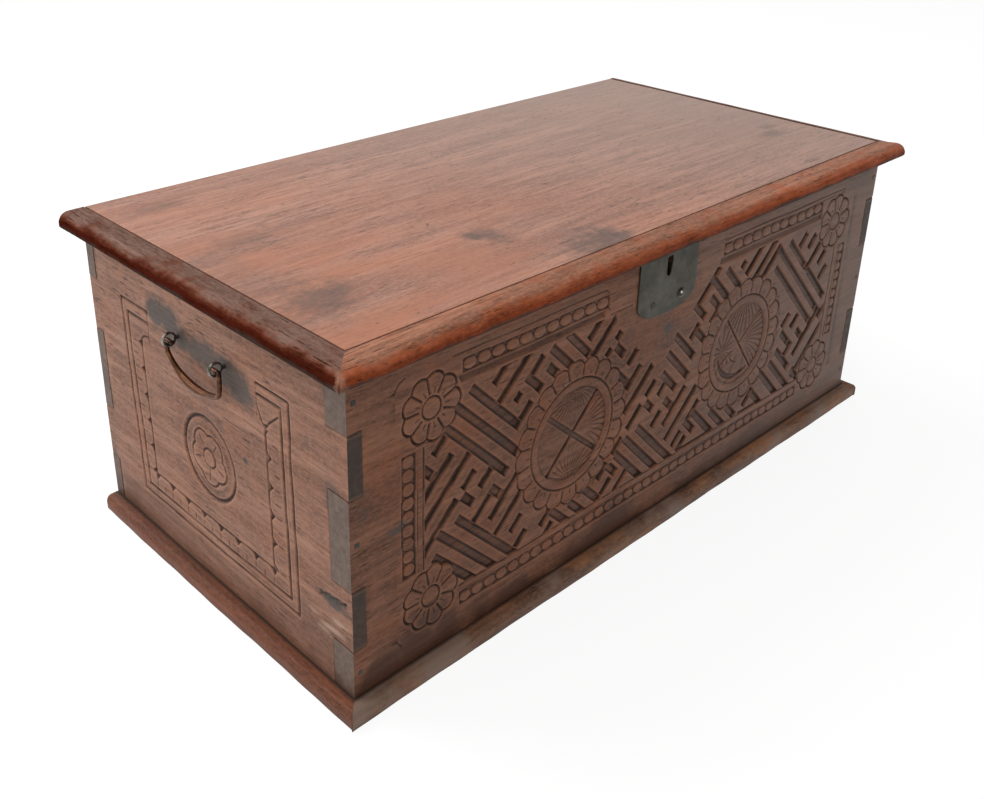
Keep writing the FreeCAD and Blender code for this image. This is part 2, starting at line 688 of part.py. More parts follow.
def eye(name, side, y_side):
    """One eye at the left (-1) or right (1) end, at the front (-1) or back (1) of the handle."""
    y = f"{y_side} * eye_apart / 2"
    x = f"{side} * (body_length / 2 + {EYE_OUT})"
    out = "eye_bore + eye_wall"
    ring = rod(name + "_ring", out, "eye_wide", (x, y + " - eye_wide / 2", EYE_Z), Vector(0, 1, 0))
    length = "end_thick + eye_stand + eye_wall + clinch_thick"
    inner = "body_length / 2 - end_thick - clinch_thick"
    start = inner if side > 0 else f"-({inner}) - ({length})"
    shank = box(name + "_shank", (length, "eye_wide", "eye_shank"),
                (start, y + " - eye_wide / 2", EYE_Z + " - eye_shank / 2"))
    tail_x = inner if side > 0 else f"-({inner}) - clinch_thick"
    tail = box(name + "_tail", ("clinch_thick", "2 * clinch_long", "eye_shank"),
               (tail_x, y + " - clinch_long", EYE_Z + " - eye_shank / 2"))
    bore = rod(name + "_bore", "eye_bore", "eye_wide + 2 * overrun",
               (x, y + " - eye_wide / 2 - overrun", EYE_Z), Vector(0, 1, 0))
    return cut(name, fuse(name + "_solid", [ring, shank, tail]), bore)


eyes = {}
for end_name, side in (("left", -1), ("right", 1)):
    pair = [eye(f"{end_name}_eye_{k}", side, y_side) for k, y_side in enumerate((-1, 1))]
    eyes[end_name] = node(f"{end_name}_handle_eyes", group(f"{end_name}_handle_eyes", pair))
worked("left_end_board", left_blank,
       [floor_recess, eyes["left"], corner_nail_set, base_nail_set, floor_nail_set, left_carving])
worked("right_end_board", right_blank,
       [floor_recess, eyes["right"], corner_nail_set, base_nail_set, floor_nail_set, right_carving])

# Bails: a rod hooked through both eyes, with a swelling grip; the rear knee is the rounder


def rounded_path(points, radii):
    """A wire through points, each inner corner rounded by its radius."""
    edges, start = [], points[0]
    for k in range(1, len(points) - 1):
        back, ahead = (points[k - 1] - points[k]).normalize(), (points[k + 1] - points[k]).normalize()
        half = back.getAngle(ahead) / 2
        run = radii[k - 1] / math.tan(half)
        bow = (back + ahead).normalize() * (radii[k - 1] / math.sin(half) - radii[k - 1])
        leave, arrive = points[k] + back * run, points[k] + ahead * run
        edges.append(Part.makeLine(start, leave))
        edges.append(Part.Arc(leave, points[k] + bow, arrive).toShape())
        start = arrive
    edges.append(Part.makeLine(start, points[-1]))
    return Part.Wire(edges)


def flats(centre, radius):
    """The section of a forged rod that runs along Y: a regular polygon round a point."""
    angles = [2 * math.pi * k / ROD_SIDES for k in range(ROD_SIDES)]
    corners = [centre + Vector(radius * math.cos(a), 0, radius * math.sin(a)) for a in angles]
    return Part.makePolygon(corners + corners[:1])


def bent_rod(points, radii):
    """A forged rod from its first point, with each corner bent to its radius."""
    path = rounded_path(points, radii)
    return path.makePipeShell([flats(points[0], size("bail_rod"))], True, False)


def bail(side):
    """The bail at one end, hanging plumb; its tails point inwards through the eyes."""
    z_pin = top - size("eye_drop") - size("eye_bore") + size("bail_rod") + size("bail_lift")
    x = side * (half_length + size("eye_stand") + size("eye_bore") + size("eye_wall"))
    half = size("eye_apart") / 2
    leg = half + size("eye_wide") / 2 + size("bail_side") + size("bail_rod")
    tail = half - size("eye_wide") / 2 - size("bail_tail")
    low, knee = z_pin - size("bail_drop"), size("bail_knee")
    hook, corner = size("bail_hook"), size("bail_corner")
    grip_ends = [Vector(x, -leg + 2 * corner, low), Vector(x, leg - knee - 2 * corner, low)]
    front = [Vector(x, y, z) for y, z in ((-tail, z_pin), (-leg, z_pin), (-leg, low))] + grip_ends[:1]
    slant = ((tail, z_pin), (leg, z_pin), (leg, z_pin - knee / 2), (leg - knee, low))
    back = [Vector(x, y, z) for y, z in slant]
    hooks = [bent_rod(front, (hook, corner)), bent_rod(back + grip_ends[1:], (hook, corner, knee))]
    return hooks[0].fuse([grip(*grip_ends), hooks[1]]).removeSplitter()


def grip(start, end):
    """The swelling of the grip between the two bent rods."""
    stations = [(start + (end - start) * along, size("bail_rod") * thick) for along, thick in GRIP_SHARES]
    return Part.makeLoft([flats(*station) for station in stations], True, True)


node("left_bail", feature("left_bail", bail(-1)))
node("right_bail", feature("right_bail", bail(1)))

# Floor: three planks let up into the rebate

for k, plank_name in enumerate(("front", "middle", "back")):
    wide = f"({FLOOR_WIDE}) / 3"
    plank = box(f"plank_{plank_name}", (FLOOR_LONG, wide + " - plank_gap", "floor_thick"),
                (FLOOR_LEFT, f"{FLOOR_FRONT} + {k} * {wide} + plank_gap / 2", "0"))
    worked(f"floor_plank_{plank_name}", plank, [floor_nail_set, base_nail_set])

# Base moulding: a strip with a rounded top edge, mitred at the front corners


def strip(name, along, at, project, high, length, mitres, round_top, round_low=None):
    """A moulding strip lying along X or Y, its outer face at the strip's own zero."""
    body = new_body(name, at)
    role = "YZ_Plane" if along == "X" else "XZ_Plane"
    section = sketch_on(body, role, rectangle("0", "0", project, high))
    base = pad(body, section, length, along == "Y")
    return finish_strip(body, base, along, high, mitres, round_top, round_low)


def finish_strip(body, base, along, high, mitres, round_top, round_low):
    """Round a strip's outer edges and cut its mitres."""
    across = (lambda point: point.y) if along == "X" else (lambda point: point.x)
    top_z = max(vertex.Point.z for vertex in base.Shape.Vertexes)
    base = round_edges(body, base, lambda p: near(across(p), 0) and near(p.z, top_z), round_top)
    if round_low:
        base = round_edges(body, base, lambda p: near(across(p), 0) and near(p.z, 0), round_low)
    if mitres:
        pocket_through(body, sketch_on(body, "XY_Plane", *mitres))
    return body


def front_mitres(length, wide, right_wide):
    """The two triangles cut off the inner corners of a front strip, the right one maybe narrower."""
    return ((("0", "0"), (wide, wide), ("0", wide)),
            ((length, "0"), (length, wide), (f"{length} - {right_wide}", wide)))


def side_mitre(wide, front_wide):
    """The triangle cut off the front of a side strip whose outer face is at zero."""
    return ((("0", "0"), (wide, "0"), (wide, front_wide)),)


base_length = "(body_length + 2 * base_project)"
base_corner = ("-body_length / 2 - base_project", "-body_depth / 2 - base_project", "0")
front_base = strip("front_base", "X", base_corner,
                   "base_project", "base_high", base_length,
                   front_mitres(base_length, "base_project", "base_project"),
                   "base_round")
left_base = strip("left_base", "Y", base_corner,
                  "base_project", "base_high", "body_depth + base_project",
                  side_mitre("base_project", "base_project"), "base_round")
worked("base_moulding_front", front_base, [base_nail_set])
worked("base_moulding_left", left_base, [base_nail_set])


def mirrored(name, thing):
    """A copy of a piece reflected to the other end of the chest."""
    copy = doc.addObject("Part::Mirroring", name)
    copy.Source = thing
    copy.Normal = Vector(1, 0, 0)
    return copy


worked("base_moulding_right", mirrored("right_base", left_base), [base_nail_set])

# Lid: a plank held in the moulding, flush with the back of the box

LID_SIDE = "(moulding_wide - lid_overhang)"
RIGHT_WIDE = "(moulding_wide - lid_overhang + right_overhang)"


def lid_nails():
    """Nails through the moulding's nose into the lid plank's edges."""
    z = top + size("lid_thick") / 3
    outer_y, wide = half_depth + size("lid_overhang"), size("moulding_wide")
    front = [Vector(x, -outer_y, z) for x in spread(4, -half_length, half_length)]
    nails = nail_group(front, Vector(0, 1, 0), wide + nail_length / 2)
    for side, over in ((-1, size("lid_overhang")), (1, size("right_overhang"))):
        ends = [Vector(side * (half_length + over), y, z) for y in spread(2, -half_depth, half_depth)]
        reach = wide - size("lid_overhang") + over + nail_length / 2
        nails += nail_group(ends, Vector(-side, 0, 0), reach)
    return Part.makeCompound(nails)


lid_nail_set = node("lid_moulding_nails", feature("lid_moulding_nails", lid_nails()))
lid_length = "(body_length + lid_overhang + right_overhang)"
lid_corner = ("-body_length / 2 - lid_overhang", "-body_depth / 2 - lid_overhang", "body_height")
front_nose = strip("front_nose", "X", lid_corner, "moulding_wide", "lid_thick", lid_length,
                   front_mitres(lid_length, "moulding_wide", RIGHT_WIDE), "nose_round", "nose_under")
left_nose = strip("left_nose", "Y", lid_corner, "moulding_wide", "lid_thick", "body_depth + lid_overhang",
                  side_mitre("moulding_wide", "moulding_wide"), "nose_round", "nose_under")
right_nose = strip("right_nose", "Y", ("-body_length / 2 - right_overhang", lid_corner[1], lid_corner[2]),
                   RIGHT_WIDE, "lid_thick", "body_depth + lid_overhang",
                   side_mitre(RIGHT_WIDE, "moulding_wide"), "nose_round", "nose_under")
worked("lid_moulding_front", front_nose, [lid_nail_set])
worked("lid_moulding_left", left_nose, [lid_nail_set])
worked("lid_moulding_right", mirrored("right_nose_turned", right_nose), [lid_nail_set])

plank_body = new_body("lid_blank", (f"-body_length / 2 + {LID_SIDE}", f"-body_depth / 2 + {LID_SIDE}",
                                    "body_height"))
pad(plank_body, sketch_on(plank_body, "XY_Plane",
                          rectangle("0", "0", f"body_length - 2 * {LID_SIDE}", f"body_depth - {LID_SIDE}")),
    "lid_thick")

# Lock staple: a strap let into the lid's underside with a loop that drops into the lock

LOCK_Y = "(-body_depth / 2 + front_thick + case_deep / 2)"
STAPLE_X = f"({LOCK_X} + staple_shift)"
LOOP_WIDE = "(bolt_thick + 2 * staple_clear + 2 * staple_bar)"
strap = box("strap", ("strap_long", "strap_wide", "strap_thick"),
            (STAPLE_X + " - strap_long / 2", LOCK_Y + " - strap_wide / 2", "body_height"))
loop_high = "(bolt_drop + bolt_high + staple_clear + staple_bar)"
loop = box("loop", ("staple_bar", LOOP_WIDE, loop_high + " + strap_thick"),
           (STAPLE_X + " - staple_bar / 2", f"{LOCK_Y} - {LOOP_WIDE} / 2", f"body_height - {loop_high}"))
loop_eye = box("loop_eye", ("staple_bar + 2 * overrun", "bolt_thick + 2 * staple_clear",
                            "bolt_high + 2 * staple_clear"),
               (STAPLE_X + " - staple_bar / 2 - overrun", f"{LOCK_Y} - bolt_thick / 2 - staple_clear",
                "body_height - bolt_drop - bolt_high - staple_clear"))
staple_blank = cut("staple_blank", fuse("staple_solid", [strap, loop]), loop_eye)


def staple_nails():
    """A nail at each end of the strap, up into the lid."""
    y = -half_depth + size("front_thick") + size("case_deep") / 2
    across = size("strap_long") / 2 - size("nail_head")
    middle = size("staple_shift") - size("lock_shift")
    spots = [Vector(middle + side * across, y, top) for side in (-1, 1)]
    return Part.makeCompound(nail_group(spots, Vector(0, 0, 1), size("lid_thick") * 3 / 4))


staple_nail_set = node("lock_staple_nails", feature("lock_staple_nails", staple_nails()))
staple = node("lock_staple", cut("lock_staple", staple_blank, staple_nail_set))
worked("lid_plank", plank_body, [lid_nail_set, strap, staple_nail_set])

# Lock case: an iron box open towards the board, with an ear at each side, a slot in its top
# for the staple and two guides that carry the bolt

CASE_LEFT, CASE_Y = LOCK_X + " - case_wide / 2", "-body_depth / 2 + front_thick"
CASE_Z = "body_height - case_drop - case_high"
case_shell = cut("case_shell",
                 box("case_block", ("case_wide", "case_deep", "case_high"), (CASE_LEFT, CASE_Y, CASE_Z)),
                 box("case_hollow", ("case_wide - 2 * case_wall", "case_deep - case_wall + overrun",
                                     "case_high - 2 * case_wall"),
                     (CASE_LEFT + " + case_wall", CASE_Y + " - overrun", CASE_Z + " + case_wall")))
ears = box("ears", ("case_wide + 2 * ear_wide", "ear_thick", "case_high"),
           (CASE_LEFT + " - ear_wide", CASE_Y, CASE_Z))
ears_open = cut("ears_open", ears,
                box("ear_window", ("case_wide - 2 * case_wall", "ear_thick + 2 * overrun",
                                   "case_high - 2 * case_wall"),
                    (CASE_LEFT + " + case_wall", CASE_Y + " - overrun", CASE_Z + " + case_wall")))

BOLT_Y, BOLT_Z = f"{LOCK_Y} - bolt_thick / 2", "body_height - bolt_drop - bolt_high"
BOLT_TIP = f"({STAPLE_X} - staple_bar / 2 - bolt_short)"
guide_list = []
for k, guide_x in enumerate((f"{BOLT_TIP} - bolt_long + bolt_travel + guide_wide",
                             f"{BOLT_TIP} - 2 * guide_wide")):
    reach = "case_deep / 2 + bolt_thick / 2 + bolt_play + guide_wall - case_wall / 2"
    block = box(f"guide_{k}", ("guide_wide", reach, "bolt_high + 2 * bolt_play + 2 * guide_wall"),
                (guide_x, f"{BOLT_Y} - bolt_play - guide_wall", f"{BOLT_Z} - bolt_play - guide_wall"))
    window = box(f"guide_window_{k}", ("guide_wide + 2 * overrun", "bolt_thick + 2 * bolt_play",
                                       "bolt_high + 2 * bolt_play"),
                 (f"{guide_x} - overrun", f"{BOLT_Y} - bolt_play", f"{BOLT_Z} - bolt_play"))
    guide_list.append(cut(f"guide_open_{k}", block, window))
case_solid = fuse("case_solid", [case_shell, ears_open] + guide_list)
slot = box("staple_slot", ("staple_bar + 4 * staple_clear", f"{LOOP_WIDE} + 2 * staple_clear",
                           "case_wall + 2 * overrun"),
           (f"{STAPLE_X} - staple_bar / 2 - 2 * staple_clear", f"{LOCK_Y} - {LOOP_WIDE} / 2 - staple_clear",
            "body_height - case_drop - case_wall - overrun"))
post = node("lock_key_post",
            rod("lock_key_post", "post_radius", "post_long + case_wall",
                (LOCK_X, f"{CASE_Y} + case_deep - post_long - case_wall", KEYHOLE_Z), Vector(0, 1, 0)))
worked("lock_case", case_solid, [slot, post, case_nail_set])

# Lock bolt: a bar with a talon for the key; at rest it is drawn back clear of the staple

bolt_bar = box("bolt_bar", ("bolt_long", "bolt_thick", "bolt_high"),
               (f"{BOLT_TIP} - bolt_long", BOLT_Y, BOLT_Z))
talon = box("talon", ("talon_wide", "bolt_thick + 2 * overrun", "talon_deep + overrun"),
            (f"{BOLT_TIP} - bolt_long / 2 - talon_wide / 2", f"{BOLT_Y} - overrun", f"{BOLT_Z} - overrun"))
node("lock_bolt", cut("lock_bolt", bolt_bar, talon))

# Hinges: a tall leaf on the box, a short one on the lid's back edge, and a plain pin

AXIS_Y = "(body_depth / 2 + knuckle_stand + knuckle_radius)"
KNUCKLE = "((hinge_wide - 2 * knuckle_gap) / 3)"
NOTCH = "(knuckle_radius + leaf_notch)"


def leaf(name, hinge_x, upward, high, own, pin_bore, nails):
    """A hinge leaf: its plate, the knuckles that it owns, and the webs between them."""
    start = f"{hinge_x} - hinge_wide / 2"
    low = f"body_height + {NOTCH}" if upward else f"body_height - {NOTCH} - ({high})"
    parts = [box(name + "_plate", ("hinge_wide", "leaf_thick", high), (start, "body_depth / 2", low))]
    for k in own:
        x = f"{start} + {k} * ({KNUCKLE} + knuckle_gap)"
        parts.append(rod(f"{name}_knuckle_{k}", "knuckle_radius", KNUCKLE, (x, AXIS_Y, "body_height"),
                         Vector(1, 0, 0)))
        web_z = "body_height" if upward else f"body_height - {NOTCH}"
        parts.append(box(f"{name}_web_{k}", (KNUCKLE, "leaf_thick", NOTCH), (x, "body_depth / 2", web_z)))
    solid = cut(name + "_bored", fuse(name + "_solid", parts), pin_bore)
    return node(name, cut(name, solid, nails))


def leaf_nails(hinge_x, z, count, length, y_back):
    """A row of nails along a leaf, heads proud of it."""
    sizes = (size("tack_shank"), size("tack_head"), size("tack_head_thick"), length)
    places = spread(count, hinge_x - size("hinge_wide") / 2, hinge_x + size("hinge_wide") / 2)
    return [nail(Vector(x, y_back, z), Vector(0, -1, 0), *sizes) for x in places]


def hinge(name, side):
    """One hinge at the left (-1) or right (1) of the back."""
    hinge_x = f"{side} * (body_length / 2 - hinge_inset)"
    middle = side * (half_length - size("hinge_inset"))
    long = "hinge_wide + 2 * knuckle_gap"
    start = f"{hinge_x} - hinge_wide / 2 - knuckle_gap"
    node(f"{name}_pin", rod(f"{name}_pin", "hinge_pin_radius", long, (start, AXIS_Y, "body_height"),
                            Vector(1, 0, 0)))
    bore = rod(name + "_bore", "hinge_pin_radius + hinge_pin_play", f"{long} + 2 * overrun",
               (f"{start} - overrun", AXIS_Y, "body_height"), Vector(1, 0, 0))
    y_back = half_depth + size("leaf_thick") + size("tack_head_thick")
    notch = size("knuckle_radius") + size("leaf_notch")
    low_z = top - notch - size("body_leaf_high") * 2 / 3
    lid_high = size("lid_thick") - notch - size("leaf_margin")
    body_set = leaf_nails(middle, low_z, 3, size("tack_length"), y_back)
    lid_set = leaf_nails(middle, top + notch + lid_high / 2, 3, size("nail_length"), y_back)
    body_nails = node(f"{name}_body_nails", feature(f"{name}_body_nails", Part.makeCompound(body_set)))
    lid_leaf_nails = node(f"{name}_lid_nails", feature(f"{name}_lid_nails", Part.makeCompound(lid_set)))
    leaf(f"{name}_body_leaf", hinge_x, False, "body_leaf_high", (0, 2), bore, body_nails)
    leaf_high = f"lid_thick - {NOTCH} - leaf_margin"
    leaf(f"{name}_lid_leaf", hinge_x, True, leaf_high, (1,), bore, lid_leaf_nails)
    return body_nails, lid_leaf_nails


hinge_nails = [hinge("left_hinge", -1), hinge("right_hinge", 1)]
worked("back_board", back_blank, [floor_recess, corner_nail_set] + [pair[0] for pair in hinge_nails])
lid_with_holes = nodes.pop("lid_plank")
worked("lid_plank", lid_with_holes, [pair[1] for pair in hinge_nails])


def check_and_write():
    """Refuse any failed or empty shape, then write each sub-part to its file."""
    doc.recompute()
    for thing in doc.Objects:
        if {"Invalid", "Error"} & set(thing.State):
            raise ValueError(thing.Label + ": " + ", ".join(thing.State))
    for name, thing in nodes.items():
        if thing.Shape.isNull() or not thing.Shape.isValid() or not thing.Shape.Solids:
            raise ValueError(name + ": no valid solid")
    os.makedirs("parts", exist_ok=True)
    for name, thing in nodes.items():
        thing.Shape.exportStep(f"parts/{name}.step")
        print(name, len(thing.Shape.Solids), round(thing.Shape.Volume))


check_and_write()
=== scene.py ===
import math
import bmesh
import bpy
import numpy as np
from mathutils import Matrix, Vector


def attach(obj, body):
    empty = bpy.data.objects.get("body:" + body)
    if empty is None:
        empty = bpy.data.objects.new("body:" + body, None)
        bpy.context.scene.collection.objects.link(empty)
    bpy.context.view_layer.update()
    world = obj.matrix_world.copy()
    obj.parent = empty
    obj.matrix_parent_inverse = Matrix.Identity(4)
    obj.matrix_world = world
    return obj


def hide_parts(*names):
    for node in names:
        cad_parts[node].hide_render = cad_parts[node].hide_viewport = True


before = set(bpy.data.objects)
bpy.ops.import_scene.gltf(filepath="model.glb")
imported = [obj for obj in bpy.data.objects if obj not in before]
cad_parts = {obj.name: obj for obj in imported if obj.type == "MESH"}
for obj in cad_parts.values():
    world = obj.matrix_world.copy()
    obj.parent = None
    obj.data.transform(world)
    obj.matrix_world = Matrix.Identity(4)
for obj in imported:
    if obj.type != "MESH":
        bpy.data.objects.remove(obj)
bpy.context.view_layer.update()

# Camera: stands off the front left corner, a little above the lid, as the photographer did.

camera_data = bpy.data.cameras.new("Camera")
camera_data.lens = 40.56
camera_data.sensor_width = 36
camera_data.shift_x = 0.0360
camera_data.shift_y = -0.1222
camera = bpy.data.objects.new("Camera", camera_data)
camera.matrix_world = (Matrix.Translation((-0.8298, -0.7663, 0.7128))
                       @ Matrix.Rotation(math.radians(46.18 - 90), 4, "Z")
                       @ Matrix.Rotation(math.radians(90 - 23.886), 4, "X")
                       @ Matrix.Rotation(math.radians(0.829), 4, "Z"))
bpy.context.scene.collection.objects.link(camera)
bpy.context.scene.camera = camera

# Front board: one thick plank of old reddish hardwood, finger-jointed at both ends. Its face is
# carved by knife and gouge with a key fret round two ringed medallions, with a flower in each
# corner and strings of coin-shaped beads between them. Carving sizes are in millimetres.

MM = 0.001
FRONT_Y, BACK_Y, LEFT_X, RIGHT_X = -0.203, 0.203, -0.400, 0.400
# Top of the box, and the thickness of its front and of its other boards
TOP, THICK, THIN = 325, 26, 14
FAR_AWAY = 1e3
# Heights where the fingers of the corner joints meet, and the notches that they leave at each end
FINGER_Z = (65.0, 125.125, 212.875, 271.05)
NOTCHES = [(left, right, FINGER_Z[k], FINGER_Z[k + 1])
           for left, right in ((-400, -386), (386, 400)) for k in (0, 2)]
KEYHOLE_CUT, KEYHOLE_POCKET = (-12.7, -3.5, 288.8, 309.7), (-15, -1, 286.5, 312)
CELL = 0.9
FRET_STEP, FRET_LEFT, FRET_UP = 9.65, 478.6, 151.1
# Channels of the fret, in steps: the line that each lies on, then where it starts and ends
RISING = (
    (7, 17, 19), (9, 13, 18), (9, 25, 28), (11, 10, 19), (11, 24, 30), (13, 8, 15), (13, 16, 18),
    (13, 25, 26), (13, 27, 30), (15, 17, 19), (15, 24, 26), (15, 27, 28), (17, 14, 17),
    (17, 28, 29), (19, 15, 20), (21, 14, 19), (23, 15, 17), (25, 14, 16), (27, 17, 19),
    (28.5, 15.5, 18), (18, 34, 37), (20, 33, 38), (22, 34, 35), (22, 36, 37), (24, 35, 36),
    (26, 35, 37), (28, 33, 36), (30, 31, 37), (32, 34, 36), (34, 35, 37), (32, 30, 33),
    (32, 27, 29), (32, 24, 26), (34, 23, 25), (36, 24, 27), (36, 32, 34), (38, 33, 38),
    (40, 32, 39), (42, 32, 34), (43.5, 32, 34), (42, 35, 38), (32, 45, 50), (34, 42, 44),
    (36, 45, 47), (36, 52, 53), (37.5, 52, 56), (39.5, 52, 58), (41, 53, 58), (45, 60, 62),
    (47, 61, 63), (49, 59, 63), (51, 61, 63), (53, 60, 62), (58, 57, 60), (57, 51, 58),
    (59.5, 49, 58), (55, 50, 52), (51, 52, 54), (53, 53, 55), (52, 41.5, 44),
)
FALLING = (
    (9, 15, 23), (11, 14, 25), (13, 15, 27), (15, 14, 16), (15, 7, 9), (17, 17, 19), (19, 7, 18),
    (21, 6, 18), (23, 7, 16), (27, 13, 16), (29, 15, 17), (30.5, 14, 19), (32.5, 15, 20),
    (35, 23, 25), (33, 26, 29), (33, 33, 35), (36.5, 33, 37), (38.5, 32, 38), (40.5, 31, 37),
    (28.6, 33, 42), (30.4, 34, 44), (26.7, 33, 41), (25.3, 33, 35), (22, 30, 35), (20, 30, 34),
    (18.3, 28, 32), (34.7, 36, 38), (44.5, 32, 35), (46.5, 34, 37), (48, 32, 39), (50, 34, 39),
    (42.7, 35, 38), (36, 43, 49), (37.6, 46, 51), (39.4, 49, 52), (43, 53, 57), (34.6, 42, 45),
    (57, 42, 57), (55.2, 43, 57), (58.8, 43, 49), (58.8, 50, 57), (49, 53, 58), (49.2, 59, 62),
    (47.3, 53, 61), (45.5, 52, 59), (51, 52, 55), (53, 55, 57),
)
# Outlines of petals: their reach, the radius of their round ends, and their number
MEDALLIONS, MEDALLION_PETALS = ((-135, 163), (141, 163)), (76, 11.2, 20)
FLOWERS, FLOWER_PETALS = ((-314, 262), (-314, 75), (314, 262), (314, 75)), (31, 9.4, 9)
HUB_RADIUS = 48.5
# Strings of beads: left, low, wide, high, how many beads, and whether they stand upright
STRINGS = ((-346, 109, 14.6, 119, 9, True), (333.5, 109, 12.5, 119, 10, True),
           (-280, 45.5, 560, 12.5, 36, False), (-280, 281.5, 185, 12.5, 11, False),
           (87, 281.5, 193, 12.5, 11, False))
# Right half of the edge of the plain field under the lock, from its middle line
PLAIN_EDGE = ((76, 325), (76, 274), (72, 263), (66, 255), (58, 250), (51.7, 248), (46, 243), (41, 238),
              (38, 230), (37, 221), (26, 219), (0, 180))


def most(*values):
    """The largest of several values at each place."""
    return np.max(values, axis=0)


def smooth(values):
    """An eased ramp from 0 to 1."""
    values = np.clip(values, 0, 1)
    return values * values * (3 - 2 * values)


def sunk(gap, deep, wall=1.1):
    """A flat recess inside an outline, with a steep wall."""
    return deep * np.clip(-gap / wall, 0, 1)


def scored(gap, wide, deep):
    """A V-shaped knife line centred on an outline."""
    return deep * np.clip(1 - np.abs(gap) * 2 / wide, 0, 1)


def block(x, z, left, right, low, high):
    """Signed distance to an upright rectangle."""
    return np.maximum(np.maximum(left - x, x - right), np.maximum(low - z, z - high))


def petals(x, z, reach, bulge, count):
    """Signed distance to a flower outline round the origin."""
    step = 2 * math.pi / count
    turn = (np.arctan2(z, x) + step / 2) % step - step / 2
    far, ring = np.hypot(x, z), reach - bulge
    round_petal = np.hypot(far * np.cos(turn) - ring, far * np.sin(turn)) - bulge
    return np.minimum(far - ring - bulge / 2, round_petal)


def petal_cuts(x, z, inner, outer, count, deep):
    """Knife lines between the petals, and a short tick at the root of each."""
    step = 2 * math.pi / count
    angle, far = np.arctan2(z, x), np.hypot(x, z)
    between = np.abs((angle % step) - step / 2) * far
    middle = np.abs((angle + step / 2) % step - step / 2) * far
    along = smooth((far - inner) / 2) * smooth((outer - far) / 2)
    root = smooth((far - inner) / 2) * smooth((inner + (outer - inner) * 0.45 - far) / 2)
    dome = 0.75 * (middle / (step * far / 2 + 1e-9)) ** 3 * (far > inner)
    return dome + scored(between, 3.2, deep) * along + scored(middle, 2.0, deep * 0.6) * root


def line_gap(x, z, points):
    """Distance to a line that runs from point to point."""
    near = np.full(x.shape, FAR_AWAY)
    for (x1, z1), (x2, z2) in zip(points, points[1:]):
        run, rise = x2 - x1, z2 - z1
        share = np.clip(((x - x1) * run + (z - z1) * rise) / (run * run + rise * rise), 0, 1)
        near = np.minimum(near, np.hypot(x - x1 - share * run, z - z1 - share * rise))
    return near


def plain_gap(x, z):
    """Signed distance to the uncut lobed field that hangs under the lock."""
    across = np.abs(x + 8)
    inside = np.zeros(x.shape, bool)
    for (x1, z1), (x2, z2) in zip(PLAIN_EDGE, PLAIN_EDGE[1:]):
        inside |= (z <= z1) & (z > z2) & (across < x1 + (x2 - x1) * (z - z1) / min(z2 - z1, -1e-6))
    near = line_gap(across, z, PLAIN_EDGE)
    return np.where(inside, -near, near)


def fret_gap(x, z):
    """Signed distance to the fret's channels, which lie on a lattice turned by 45 degrees."""
    total = (x + FRET_LEFT) * math.sqrt(2) / FRET_STEP
    spread = (FRET_UP - z) * math.sqrt(2) / FRET_STEP
    falling, rising = (total + spread) / 2, (total - spread) / 2
    gap = np.full(x.shape, FAR_AWAY)
    for lines, across, along in ((RISING, falling, rising), (FALLING, rising, falling)):
        for line, first, last in lines:
            side = np.abs(across - line - 0.5) - 0.47
            end = np.abs(along - (first + last) / 2) - (last - first) / 2
            gap = np.minimum(gap, np.maximum(side, end))
    return gap * FRET_STEP


def beads(x, z, left, low, wide, high, count, upright):
    """A sunk string with low domed beads standing in it."""
    along, start, long = (z, low, high) if upright else (x, left, wide)
    off, thick = (x - left - wide / 2, wide) if upright else (z - low - high / 2, high)
    step = long / count
    spot = ((along - start) % step) - step / 2
    wobble = 0.25 * np.sin(7.3 * np.floor((along - start) / step))
    round_off = np.hypot(spot / (step * 0.47), (off + wobble) / (thick * 0.47))
    rim = scored((round_off - 1.02) * thick * 0.47, 2.4, 2.6)
    bead = np.maximum(np.where(round_off < 1, 1.2 * round_off ** 3, 2.0), rim)
    return np.where(block(x, z, left, left + wide, low, low + high) < 0.3, bead, 0)


def medallion(x, z, plan):
    """A ringed medallion: petals, a raised ring, and a sunk hub under a knife-cut cross."""
    far, angle = np.hypot(x, z), np.arctan2(z, x)
    deep = most(scored(petals(x, z, *MEDALLION_PETALS) - 0.9, 3.4, 2.9),
                petal_cuts(x, z, 58.5, 74, 20, 1.6) * (far > 57),
                0.9 * smooth((far - 64) / 12) * (far < 77), scored(far - 56.9, 3.2, 2.4),
                0.9 * ((far - 52.7) / 3.8) ** 2 * (np.abs(far - 52.7) < 3.8))
    hub = sunk(far - 49, 1.9, 1.6)
    fan = np.zeros(x.shape)
    for quarter, (root, count) in enumerate(plan["fans"]):
        facing = math.radians(90 * quarter)
        inside = np.abs((angle - facing + math.pi) % (2 * math.pi) - math.pi) < math.pi / 4
        away_x, away_z = x - root * math.cos(facing), z - root * math.sin(facing)
        ray = np.arctan2(away_z, away_x) + 0.006 * np.hypot(away_x, away_z)
        rays = 0.7 * np.clip(np.cos(ray * count) * 1.8 - 0.6, 0, 1) * smooth((48 - far) / 2)
        fan = np.where(inside, rays * (0.25 + 0.75 * smooth((far - plan["plain"]) / 9)), fan)
    deep = np.maximum(deep, hub + fan * (far < 49))
    for turn, start, end, half, cut in plan["arms"]:
        across = -x * math.sin(turn) + z * math.cos(turn)
        along = x * math.cos(turn) + z * math.sin(turn)
        arm = most(np.abs(across) - half, start - along, along - end, far - HUB_RADIUS)
        deep = np.where(far < HUB_RADIUS, most(deep, sunk(arm, cut, 1.3)), deep)
    for radius, cx, cz, half, first, last, cut in plan["bows"]:
        turn = np.degrees(np.arctan2(z - cz, x - cx)) % 360
        swell = np.sqrt(np.clip((turn - first) * (last - turn), 0, None)) * 2 / (last - first)
        bow = np.abs(np.hypot(x - cx, z - cz) - radius) - half * swell
        reached = (far < HUB_RADIUS) & (turn > first) & (turn < last)
        deep = np.where(reached, most(deep, sunk(bow, cut, 1.2)), deep)
    return deep


